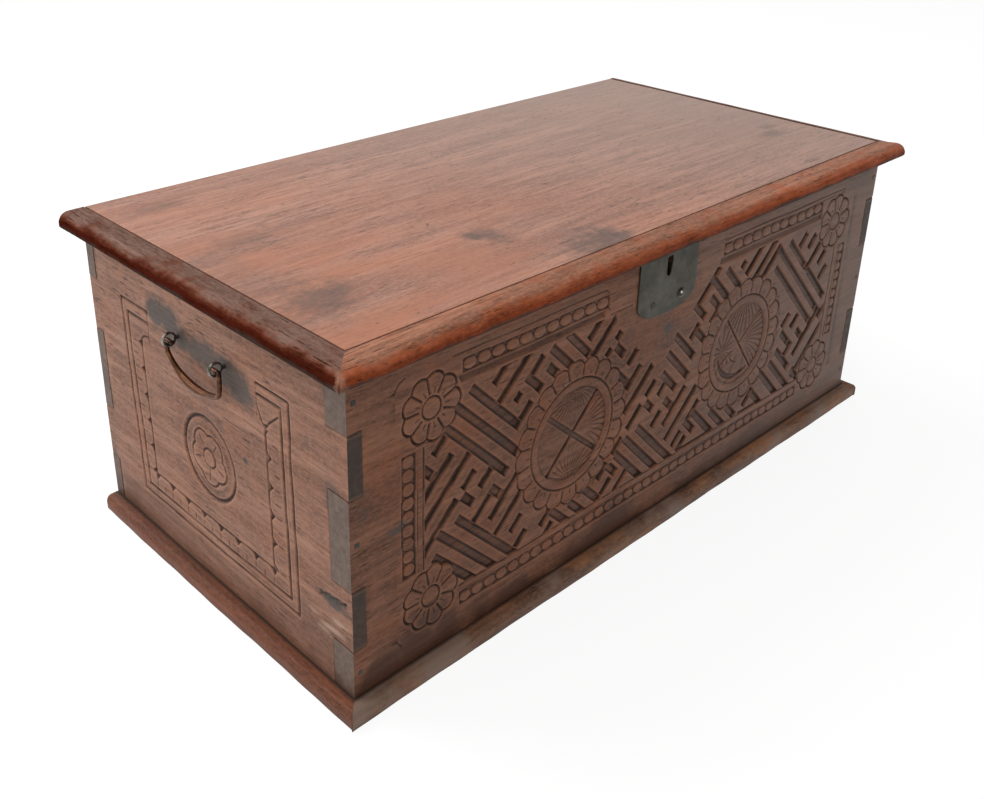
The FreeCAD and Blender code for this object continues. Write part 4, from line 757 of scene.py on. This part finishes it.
# Paler and greyer towards the back and right: painted sheen.
lid_colour = lid.over(lid_colour, (0.40, 0.29, 0.24), toward_back, -0.15, 0.4, 0, 0.6)
pitted = lid.times(lid.span(lid.noise(95, 4, 0.7, (1, 2.4, 1)), 0.62, 0.70),
                   lid.span(lid.noise(8, 3, 0.6, (1, 2, 1)), 0.50, 0.60))
lid_colour = lid.mix(lid.times(pitted, 0.8), lid_colour, (0.06, 0.035, 0.025))
for stain in LID_STAINS:
    lid_colour = water_stain(lid, lid_colour, *stain)
lid.colour(lid.over(lid_colour, JOINT_DARK, joint_gap(lid), 0.0007, 0.0013, 0.9, 0))
lid_dull = lid.span(joint_gap(lid), 0.0012, 0.002, 1, 0)
lid.rough(lid.math("MAXIMUM", lid.span(lid_grain["Bands"], 0.3, 0.7, 0.3, 0.42), lid_dull))
lid.link(lid.span(lid_dull, 0, 1, LID_COAT, 0), lid.shader.inputs["Coat Weight"])
lid_relief = lid.minus(lid.times(lid_grain["Streaks"], 0.5), lid.times(pitted, 1.5))
lid_relief = lid.plus(lid_relief, lid.times(lid.span(lid_grain["Nicks"], 0.3, 0.42), 0.4))
lid.bump(lid_relief, 0.0005, 0.5)
top_sides = [sign * line for sign in (-1, 1) for line in (394, 394.9, 395.3, 396)]
top_across = np.array(sorted({*top_sides, *np.linspace(-390, 390, 157)}))
top_up = np.array(sorted({-199, -198.3, -197.9, -197, 201, 203, *np.linspace(-194, 196, 79)}))
top_deep, _ = surveyed(top_across, top_up, top_depth)
top = carved_board("lid_top", top_across, top_up, top_deep, {}, 15.75, (), Matrix.Translation((0, 0, 0.341)))
piece("lid_top", top, "lid", "lid", lid.material, "lid_plank")

# Lid mouldings: three strips with a rounded nose, mitred at the front corners, glued and nailed
# to the plank. They are waxed to a deep orange-red, with paler colour painted along the top edge as sheen and
# rubbed wear, and a dark band painted low down as shade and grime.

# Outline of the nose, out from its front edge and up from its underside
NOSE_WIDE = 28
NOSE = [(NOSE_WIDE, 0), (3.5, 0)]
NOSE += [(3.5 - 3.5 * math.sin(a), 3.5 - 3.5 * math.cos(a)) for a in np.radians((30, 60, 90))]
NOSE += [(11 - 11 * math.cos(a), 5 + 11 * math.sin(a)) for a in np.radians(range(10, 91, 10))]
NOSE += [(27.2, 16), (NOSE_WIDE, 15.2)]


def waved(value, seed):
    """A smooth uneven line between 0 and 1, the same on every run."""
    waves = np.sin(value / 61 + seed) + 0.7 * np.sin(value / 23 + 2.1 * seed)
    waves += 0.5 * np.sin(value / 7.3 + 3.7 * seed)
    return float(0.5 + waves / 4.6)


def made(name, bm):
    """A mesh from a bmesh, which is freed."""
    mesh = bpy.data.meshes.new(name)
    bm.to_mesh(mesh)
    bm.free()
    return mesh


def set_along(side, x, y, z):
    """The place of a strip: along the front, or back along a side from its front corner."""
    to_x, to_y = {"front": ((1, 0), (0, 1)), "left": ((0, 1), (1, 0)), "right": ((0, -1), (1, 0))}[side]
    return Matrix(((*to_x, 0, x), (*to_y, 0, y), (0, 0, 1, z), (0, 0, 0, 1)))


def strip_mesh(name, profile, wide, length, start_cut, end_cut, worn, seed, placed):
    """A worn strip: its section swept along, the ends mitred, then set in its place."""
    bm = bmesh.new()
    narrowed = min(1, wide / NOSE_WIDE)
    section = [bm.verts.new((0, out * narrowed if out > 20 else out, up)) for out, up in profile]
    edges = [bm.edges.new((a, b)) for a, b in zip(section, section[1:] + section[:1])]
    steps = int(length / 6)
    bmesh.ops.spin(bm, geom=section + edges, axis=(0, 0, 1), dvec=(1 / steps, 0, 0), angle=0, steps=steps)
    bmesh.ops.remove_doubles(bm, verts=bm.verts, dist=1e-5)
    high = max(up for _, up in profile)
    for vert in bm.verts:
        out, share, up = vert.co.y, vert.co.x, vert.co.z
        along = start_cut * out + share * (length - (start_cut + end_cut) * out)
        rub = worn * waved(along, seed) * max(0.0, 1 - out / 14)
        rub += worn * 0.5 * waved(along, seed + up) * (out < 2)
        drop = worn * 0.6 * waved(along, seed + 2) * (up > high * 0.7) * max(0.0, 1 - abs(out - 6) / 10)
        vert.co = (along, out + rub if out < 14 else out, up - drop)
    bmesh.ops.holes_fill(bm, edges=bm.edges, sides=0)
    bmesh.ops.recalc_face_normals(bm, faces=bm.faces)
    for face in bm.faces:
        face.smooth = True
    for edge in bm.edges:
        if len(edge.link_faces) == 2 and edge.calc_face_angle() > math.radians(40):
            edge.smooth = False
    bmesh.ops.transform(bm, matrix=placed @ Matrix.Scale(MM, 4), verts=bm.verts)
    bmesh.ops.recalc_face_normals(bm, faces=bm.faces)
    return made(name, bm)


def moulding_wood(name, top, shoulder, light, dark, shine, shoulder_from, turn=(0, 0, 0), shift=(0, 0, 0)):
    """Waxed moulding: a top and shoulder painted paler as sheen and rubbed wear, a deep red-brown roll, and a
    dark line low down that is painted shade and grime.
    """
    finish = Finish(name, 0.4, shine=shine)
    figure = finish.figure(turn, shift)
    wavy = finish.frayed(finish.span(finish.z, 0.325, 0.341), -0.16, 0.16, 34)
    colour = grained(finish, figure, light, dark)
    # Top and shoulder paler: painted sheen on the upper roll, with rubbed wear.
    shoulder_sheen_and_wear = grained(finish, figure, shoulder, darker(shoulder, 0.7))
    colour = finish.over(colour, shoulder_sheen_and_wear, wavy, shoulder_from, shoulder_from + 0.3)
    colour = finish.over(colour, grained(finish, figure, top, darker(top, 0.65)), wavy, 0.76, 1.0)
    # Dark band low on the roll: painted shade of the underside, with grime.
    colour = finish.over(colour, (0.055, 0.038, 0.032), wavy, 0.14, 0.36, 0.9, 0)
    colour = finish.over(colour, JOINT_DARK, joint_gap(finish), 0.0007, 0.0013, 0.9, 0)
    corner = finish.length(*past_edges(finish, 0.420, -0.224))
    bare = finish.plus(corner, finish.span(finish.noise(110, 3), 0.35, 0.65, -0.002, 0.003))
    finish.colour(finish.over(colour, (0.50, 0.27, 0.18), bare, 0.001, 0.006, 0.6, 0))
    finish.rough(finish.span(wavy, 0.15, 0.5, 0.65, 0.4))
    finish.bump(finish.plus(figure["Streaks"], finish.times(figure["Nicks"], 0.4)), 0.0007, 0.5)
    return finish.material


front_nose_wood = moulding_wood("front_nose_wood", (0.46, 0.205, 0.125), (0.50, 0.135, 0.058),
                                (0.33, 0.062, 0.013), (0.18, 0.036, 0.011), 0.06, 0.45, shift=(0.2, 0, 0))
side_nose_wood = moulding_wood("side_nose_wood", (0.262, 0.152, 0.118), (0.190, 0.058, 0.032),
                               (0.070, 0.012, 0.006), (0.040, 0.008, 0.004), 0.0, 0.58,
                               turn=(0, 0, math.radians(90)), shift=(0.5, 0, 0))
for side, wide, length, cuts, seed, x, wood, nails in (
        ("front", 28, 836, (1, 16 / 28), 1.0, -0.424, front_nose_wood, ("lid_moulding_nails",)),
        ("left", 28, 430, (1, 0), 2.3, -0.424, side_nose_wood, ()),
        ("right", 16, 430, (28 / 16, 0), 4.1, 0.412, side_nose_wood, ())):
    name = f"lid_moulding_{side}"
    place = set_along(side, x, -0.227, 0.325)
    nose = strip_mesh(name + "_strip", NOSE, wide, length, *cuts, 0.7, seed, place)
    piece(name + "_strip", nose, "lid", "mouldings", wood, name, *nails)

# Base mouldings: three low strips with a rounded top edge round the foot, nailed on and mitred
# at the front corners. Feet and mops have scuffed them grey, with orange wood showing through.

# Outline of the strip, out from its front edge and up from the ground
FOOT = [(15, 0), (1.2, 0), (0.3, 0.4), (0, 1.5)]
FOOT += [(7 - 7 * math.cos(a), 10 + 7 * math.sin(a)) for a in np.radians(range(0, 91, 12))]
FOOT += [(14.4, 17), (15, 16.4)]
foot = Finish("foot_wood", 0.55, shine=0.22)
foot_grain = foot.figure()
foot_x, foot_y = past_edges(foot, RIGHT_X, FRONT_Y)
foot_colour = grained(foot, foot_grain, (0.235, 0.120, 0.070), (0.125, 0.060, 0.036))
worn_through = foot.noise(26, 5, 0.65, (0.4, 1, 1))
foot_colour = foot.over(foot_colour, (0.38, 0.165, 0.075), worn_through, 0.49, 0.64, 0, 0.65)
scuffed = foot.plus(foot.noise(17), foot.span(foot.x, -0.38, -0.22, 0.22, 0))
foot_colour = foot.over(foot_colour, (0.235, 0.160, 0.122), scuffed, 0.50, 0.66, 0, 0.85)
side_grain = foot.figure((0, 0, math.radians(90)))
side_colour = grained(foot, side_grain, (0.235, 0.078, 0.036), (0.13, 0.046, 0.025))
foot_colour = foot.mix(foot.math("GREATER_THAN", foot_x, foot_y), foot_colour, side_colour)
# Painted shade: a dark line where the strip meets the boards, and a darker lowest edge where it meets the
# floor.
off_board = foot.math("MAXIMUM", foot_x, foot_y)
foot_colour = foot.over(foot_colour, (0.03, 0.018, 0.013), off_board, 0.0015, 0.0045, 0.9, 0)
foot.colour(foot.over(foot_colour, (0.05, 0.032, 0.024), foot.z, 0.0005, 0.003, 0.7, 0))
foot.bump(foot_grain["Streaks"], 0.001, 0.7)
for side, length, cuts, seed, x, nails in (
        ("front", 830, (1, 1), 5.2, -0.415, ("base_moulding_nails",)), ("left", 421, (1, 0), 6.9, -0.415, ()),
        ("right", 421, (1, 0), 8.4, 0.415, ())):
    name = f"base_moulding_{side}"
    strip = strip_mesh(name + "_strip", FOOT, 28, length, *cuts, 1.1, seed, set_along(side, x, -0.218, 0))
    piece(name + "_strip", strip, "chest", "mouldings", foot.material, name, *nails)

# Lock plate: a sheet of dull iron over the front board, its keyhole worn at the foot, held by
# four nails of which the right lower one is large, domed and dark, with a glint painted on its crown.

PLATE_X, PLATE_THICK = -8, 1.6
# Right half of the plate's outline, across and down from the middle of its top edge
HALF_PLATE = [(46, 0), (46, 59), (44.5, 63), (40, 67.5), (34, 71.5), (26, 74.5), (13, 76), (0, 76.4)]
# The keyhole's outline, across and up from there
KEYHOLE = ((0, -15.8), (-3.4, -16.2), (-4.2, -18), (-4.3, -22), (-4.0, -26), (-4.3, -31), (-3.9, -34.2),
           (-2.4, -36), (-0.4, -36.4), (1.6, -35.6), (3.0, -33.4), (3.2, -30), (3.7, -26), (4.4, -22),
           (4.3, -18), (3.7, -16))
iron = Finish("plate_iron", 0.55, metal=0.35, shine=0.3)
iron_colour = iron.over((0.048, 0.045, 0.034), (0.098, 0.091, 0.070), iron.noise(25), 0.3, 0.7)
iron.colour(iron.over(iron_colour, (0.070, 0.045, 0.028), iron.noise(60, 6, 0.7), 0.5, 0.75, 0, 0.7))
iron.rough(iron.span(iron.noise(90), 0.3, 0.7, 0.42, 0.68))
iron.bump(iron.plus(iron.noise(22, 3), iron.times(iron.noise(300, 3), 0.25)), 0.0012, 0.5)
bm = bmesh.new()
outline = [(x, -drop) for x, drop in HALF_PLATE] + [(-x, -drop) for x, drop in HALF_PLATE[-2::-1]]
rims = []
for loop in (outline, KEYHOLE):
    verts = [bm.verts.new((PLATE_X + x, 0, TOP + z)) for x, z in loop]
    rims += [bm.edges.new((p, q)) for p, q in zip(verts, verts[1:] + verts[:1])]
bmesh.ops.triangle_fill(bm, edges=rims, use_beauty=True)
grown = bmesh.ops.extrude_face_region(bm, geom=list(bm.faces), use_keep_orig=True)["geom"]
outer = [item for item in grown if isinstance(item, bmesh.types.BMVert)]
bmesh.ops.translate(bm, vec=(0, -PLATE_THICK, 0), verts=outer)
bmesh.ops.recalc_face_normals(bm, faces=bm.faces)
rim_edges = [e for e in bm.edges if len(e.link_faces) == 2 and e.calc_face_angle() > math.radians(60)
             and max(v.co.y for v in e.verts) < -1]
bmesh.ops.bevel(bm, geom=rim_edges, offset=0.5, segments=2, profile=0.5, affect="EDGES", material=-1)
for face in bm.faces:
    face.smooth = face.normal.y > -0.999
bmesh.ops.transform(bm, matrix=Matrix.Translation((0, FRONT_Y, 0)) @ Matrix.Scale(MM, 4), verts=bm.verts)
piece("plate", made("plate", bm), "chest", "ironwork", iron.material, "lock_plate")

dome_iron = Finish("dome_iron", 0.36, metal=0.6)
# A painted glint on the crown of the dome, and a paler rim towards its edge.
far = dome_iron.length(dome_iron.minus(dome_iron.x, 0.0122), dome_iron.minus(dome_iron.z, 0.2658))
glint = dome_iron.over((0.035, 0.026, 0.020), (0.75, 0.72, 0.66), far, 0.0007, 0.0017, 1, 0)
dome_iron.colour(dome_iron.over(glint, (0.20, 0.16, 0.12), far, 0.0040, 0.0060))
dark_iron = Finish("nail_iron", 0.55, metal=0.5)
dark_iron.colour(dark_iron.over((0.022, 0.019, 0.017), (0.085, 0.072, 0.06),
                                dark_iron.noise(160), 0.35, 0.65))
dark_iron.bump(dark_iron.noise(240, 3), 0.0006, 0.6)
for name, x, z, radius, high, finish, nodes in (
        ("plate_nail_right", 14, 264, 5.2, 2.8, dome_iron, ("lock_plate_nails",)),
        ("plate_nail_left", -30, 263, 4.0, 1.2, dark_iron, ()),
        ("plate_nail_top_left", -41, 320, 3.0, 1.2, iron, ()),
        ("plate_nail_top_right", 25, 320, 3.2, 1.3, iron, ())):
    bm = bmesh.new()
    bmesh.ops.create_uvsphere(bm, u_segments=24, v_segments=14, radius=1)
    for vert in bm.verts:
        dent = 1 + 0.02 * math.sin(3 * vert.co.x + 5 * vert.co.z + x) - 0.02 * math.cos(4 * vert.co.z + x)
        vert.co = Vector((vert.co.x * radius * dent, vert.co.y * high, vert.co.z * radius * dent))
    for face in bm.faces:
        face.smooth = True
    place = Matrix.Translation((x * MM, FRONT_Y - PLATE_THICK * MM, z * MM))
    bmesh.ops.transform(bm, matrix=place @ Matrix.Scale(MM, 4), verts=bm.verts)
    piece(name, made(name, bm), "chest", "nails", finish.material, *nodes)

# Handle eyes: split pins of iron wire. Each is a ring outside, flattened where it was hammered,
# on a pair of shanks that pass through the end and are clinched flat inside.

# Middle of an eye: along the end from its middle, up from the ground, and out from the box's middle
EYE_Y, EYE_Z, EYE_X = 37.5, 265, 409.2


def shaped(bm, verts, sizes, axis, degrees, spot):
    """Stretch some points, turn them about an axis and move them to their spot."""
    bmesh.ops.scale(bm, vec=sizes, verts=verts)
    bmesh.ops.rotate(bm, matrix=Matrix.Rotation(math.radians(degrees), 3, axis), verts=verts)
    bmesh.ops.translate(bm, vec=spot, verts=verts)


eye_iron = Finish("eye_iron", 0.3, metal=0.85)
eye_colour = eye_iron.over((0.07, 0.06, 0.052), (0.30, 0.27, 0.24), eye_iron.noise(160), 0.35, 0.65)
# Painted shade: the eye is dark where it stands close against the end board.
eye_stand = eye_iron.minus(eye_iron.math("ABSOLUTE", eye_iron.x), RIGHT_X)
eye_iron.colour(eye_iron.over(eye_colour, (0.02, 0.016, 0.013), eye_stand, 0.003, 0.006, 1, 0))
eye_iron.bump(eye_iron.noise(240, 3), 0.0004, 0.6)
for side, sign in (("left", -1), ("right", 1)):
    bm = bmesh.new()
    for y in (-EYE_Y, EYE_Y):
        wire = bmesh.ops.create_circle(bm, segments=14, radius=1)["verts"]
        shaped(bm, wire, (1.1, 1.8, 1), "X", 180, (6.1, 0, 0))
        loop = wire + [e for e in bm.edges if e.verts[0] in wire and e.verts[1] in wire]
        bmesh.ops.spin(bm, geom=loop, cent=(0, 0, 0), axis=(0, 1, 0), angle=2 * math.pi, steps=36,
                       use_merge=True)
        ring = [v for v in bm.verts if abs(v.co.y) < 3]
        for vert in ring:
            lump = 1 + 0.03 * math.sin(vert.co.x * 1.7 + y) + 0.02 * math.sin(vert.co.z * 2.9)
            vert.co = Vector((sign * EYE_X + vert.co.x * lump, y + vert.co.y, EYE_Z + vert.co.z * lump))
        for offset in (-1.05, 1.05):
            shank = bmesh.ops.create_cone(bm, cap_ends=True, segments=12, radius1=1.1, radius2=1.1, depth=20)
            shaped(bm, shank["verts"], (1, 1.7, 1), "Y", 90, (sign * 393.6, y, EYE_Z + offset))
        for way in (-1, 1):
            tail = bmesh.ops.create_cone(bm, cap_ends=True, segments=12, radius1=1.2, radius2=0.7, depth=15)
            shaped(bm, tail["verts"], (0.8, 1.6, 1), "X", -90 * way, (sign * 385, y + way * 7.5, EYE_Z))
    bmesh.ops.recalc_face_normals(bm, faces=bm.faces)
    for face in bm.faces:
        face.smooth = len(face.verts) == 4
    bmesh.ops.scale(bm, vec=(MM, MM, MM), verts=bm.verts)
    name = f"{side}_eyes"
    piece(name, made(name, bm), "chest", "ironwork", eye_iron.material, f"{side}_handle_eyes")

# Bails: a brass rod bent by hand and hooked through both eyes. The grip swells between the two
# legs and is filed with long ribs; the rod is rubbed bright there and brown in the corners.

# The rod's middle line across and up, and how far it swells at each point
BAIL_ROUTE = (
    (-32, 263.3), (-37, 263.3), (-41.6, 263.3), (-42.4, 262.5), (-42.4, 257), (-42, 250),
    (-41, 244.5), (-39.6, 240.4), (-36.4, 238), (-31, 236.2), (-24, 234.2), (-17, 232.2),
    (-9, 231.1), (-1, 231.1), (7, 232), (15, 233.8), (22.5, 236.6), (29, 240.2), (34.8, 244.4),
    (39.6, 248.8), (42.4, 253), (42.8, 258), (42.5, 261.4), (42.3, 263.2), (41, 263.4), (37, 263.3),
    (32, 263.3),
)
BAIL_SWELL = (0.9, 1, 1, 1, 1, 1, 1, 1, 1.04, 1.15, 1.35, 1.6, 1.8, 1.9, 1.85, 1.7, 1.45, 1.2, 1.05,
              1, 1, 1, 1, 1, 1, 1, 0.9)
GRIP_Y, GRIP_Z = zip(*BAIL_ROUTE[8:20])
RIB_DEEP = 0.2
brass = Finish("bail_brass", 0.38, metal=0.8)
rubbed = brass.noise(70, 4, 0.6, (1, 1, 2))
brass_colour = brass.over((0.040, 0.018, 0.011), (0.21, 0.082, 0.034), rubbed, 0.46, 0.68)
low_worn = brass.times(brass.span(brass.z, 0.262, 0.236), 0.3)
brass.colour(brass.mix(low_worn, brass_colour, (0.30, 0.115, 0.045)))
brass.rough(brass.span(brass.noise(110), 0.3, 0.7, 0.24, 0.42))
brass.bump(brass.noise(400, 3, 0.6, (1, 0.3, 1)), 0.0004, 0.5)
for side, sign in (("left", -1), ("right", 1)):
    curve = bpy.data.curves.new(f"{side}_route", "CURVE")
    curve.dimensions = "3D"
    line = curve.splines.new("NURBS")
    line.points.add(len(BAIL_ROUTE) - 1)
    for point, (y, z), swell in zip(line.points, BAIL_ROUTE, BAIL_SWELL):
        point.co = (sign * EYE_X, y, z, 1)
        point.radius = swell
    line.order_u = 3
    line.use_endpoint_u = True
    line.resolution_u = 6
    curve.bevel_depth = 2.3
    curve.bevel_resolution = 10
    curve.use_fill_caps = True
    holder = bpy.data.objects.new(f"{side}_route", curve)
    bpy.context.scene.collection.objects.link(holder)
    bpy.context.view_layer.update()
    mesh = bpy.data.meshes.new_from_object(holder.evaluated_get(bpy.context.evaluated_depsgraph_get()))
    bpy.data.objects.remove(holder)
    bm = bmesh.new()
    bm.from_mesh(mesh)
    bmesh.ops.remove_doubles(bm, verts=bm.verts, dist=1e-4)
    for vert in bm.verts:
        off_x = vert.co.x - sign * EYE_X
        off_z = vert.co.z - float(np.interp(vert.co.y, GRIP_Y, GRIP_Z))
        on_grip = max(0.0, 1 - (abs(vert.co.y + 1) / 30) ** 4) if vert.co.z < 250 else 0
        rib = 0.5 + 0.5 * math.cos(8 * math.atan2(off_z, off_x))
        vert.co.x -= off_x * RIB_DEEP * on_grip * (1 - rib)
        vert.co.z -= off_z * RIB_DEEP * on_grip * (1 - rib)
    bmesh.ops.recalc_face_normals(bm, faces=bm.faces)
    for face in bm.faces:
        face.smooth = len(face.verts) < 5
    bmesh.ops.scale(bm, vec=(MM, MM, MM), verts=bm.verts)
    bm.to_mesh(mesh)
    bm.free()
    piece(f"{side}_bail_rod", mesh, f"{side}_bail", "bails", brass.material, f"{side}_bail")

# Hidden ironwork, nails and floor: the solids keep their own shapes. The lock case, bolt, staple
# and hinges are forged and blackened; the floor is rough sawn softer wood, left dry.

floor_wood = board_wood("floor_wood", (0.36, 0.25, 0.17), (0.22, 0.135, 0.085), (0.24, 0.16, 0.11),
                        shift=(0.9, 0.1, 0.7))
forged = Finish("forged_iron", 0.58, metal=0.6)
forged_colour = forged.over((0.030, 0.027, 0.024), (0.105, 0.094, 0.080), forged.noise(45, 5), 0.35, 0.65)
forged.colour(forged.over(forged_colour, (0.11, 0.055, 0.028), forged.noise(90, 5, 0.7), 0.56, 0.7, 0, 0.7))
forged.bump(forged.noise(180), 0.0008, 0.6)
for name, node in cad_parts.items():
    metal = dark_iron.material if name.endswith("nails") else forged.material
    material = floor_wood if name.startswith("floor_plank") else metal
    if not node.material_slots:
        node.data.materials.append(material)
    for slot in node.material_slots:
        slot.material = material

# Room: a white floor and a white surround, with one broad soft light above the chest.

bm = bmesh.new()
bmesh.ops.create_grid(bm, x_segments=1, y_segments=1, size=12)
floor = bpy.data.objects.new("floor", made("floor", bm))
bpy.context.scene.collection.objects.link(floor)
white = Finish("white_floor", 0.9, shine=0)
white.shader.inputs["Base Color"].default_value = (0.8, 0.8, 0.8, 1)
seen = white.add("LightPath").outputs
glow = white.math("MAXIMUM", seen["Is Camera Ray"], seen["Is Glossy Ray"])
bright = white.add("Emission", Strength=1.18)
both = white.add("MixShader")
for source, socket in ((white.times(glow, 0.72), both.inputs[0]), (white.shader.outputs[0], both.inputs[1]),
                       (bright.outputs[0], both.inputs[2]),
                       (both.outputs[0], white.nodes["Material Output"].inputs["Surface"])):
    white.link(source, socket)
floor.data.materials.append(white.material)

world = bpy.data.worlds.new("surround")
bpy.context.scene.world = world
world.use_nodes = True
nodes, link = world.node_tree.nodes, world.node_tree.links.new
rays = nodes.new("ShaderNodeLightPath").outputs
plain = nodes.new("ShaderNodeMath")
plain.operation = "MAXIMUM"
level = nodes.new("ShaderNodeMapRange")
level.inputs["To Min"].default_value = 0.5
link(rays["Is Camera Ray"], plain.inputs[0])
link(rays["Is Transmission Ray"], plain.inputs[1])
link(plain.outputs[0], level.inputs["Value"])
sky = nodes["Background"]
sky.inputs["Color"].default_value = (1, 1, 1, 1)
link(level.outputs[0], sky.inputs["Strength"])

for name, spot, target, wide, power in (("window", (-0.9, 1.9, 2.2), (0, 0, 0.3), 2.4, 62),
                                        ("side_sky", (-2.6, -0.9, 1.7), (0, 0, 0.2), 1.8, 20)):
    lamp = bpy.data.lights.new(name, "AREA")
    lamp.shape, lamp.size, lamp.energy = "SQUARE", wide, power
    lamp_object = bpy.data.objects.new(name, lamp)
    lamp_object.location = spot
    lamp_object.rotation_euler = (Vector(target) - Vector(spot)).to_track_quat("-Z", "Y").to_euler()
    bpy.context.scene.collection.objects.link(lamp_object)

bpy.context.scene.view_settings.view_transform = "Standard"
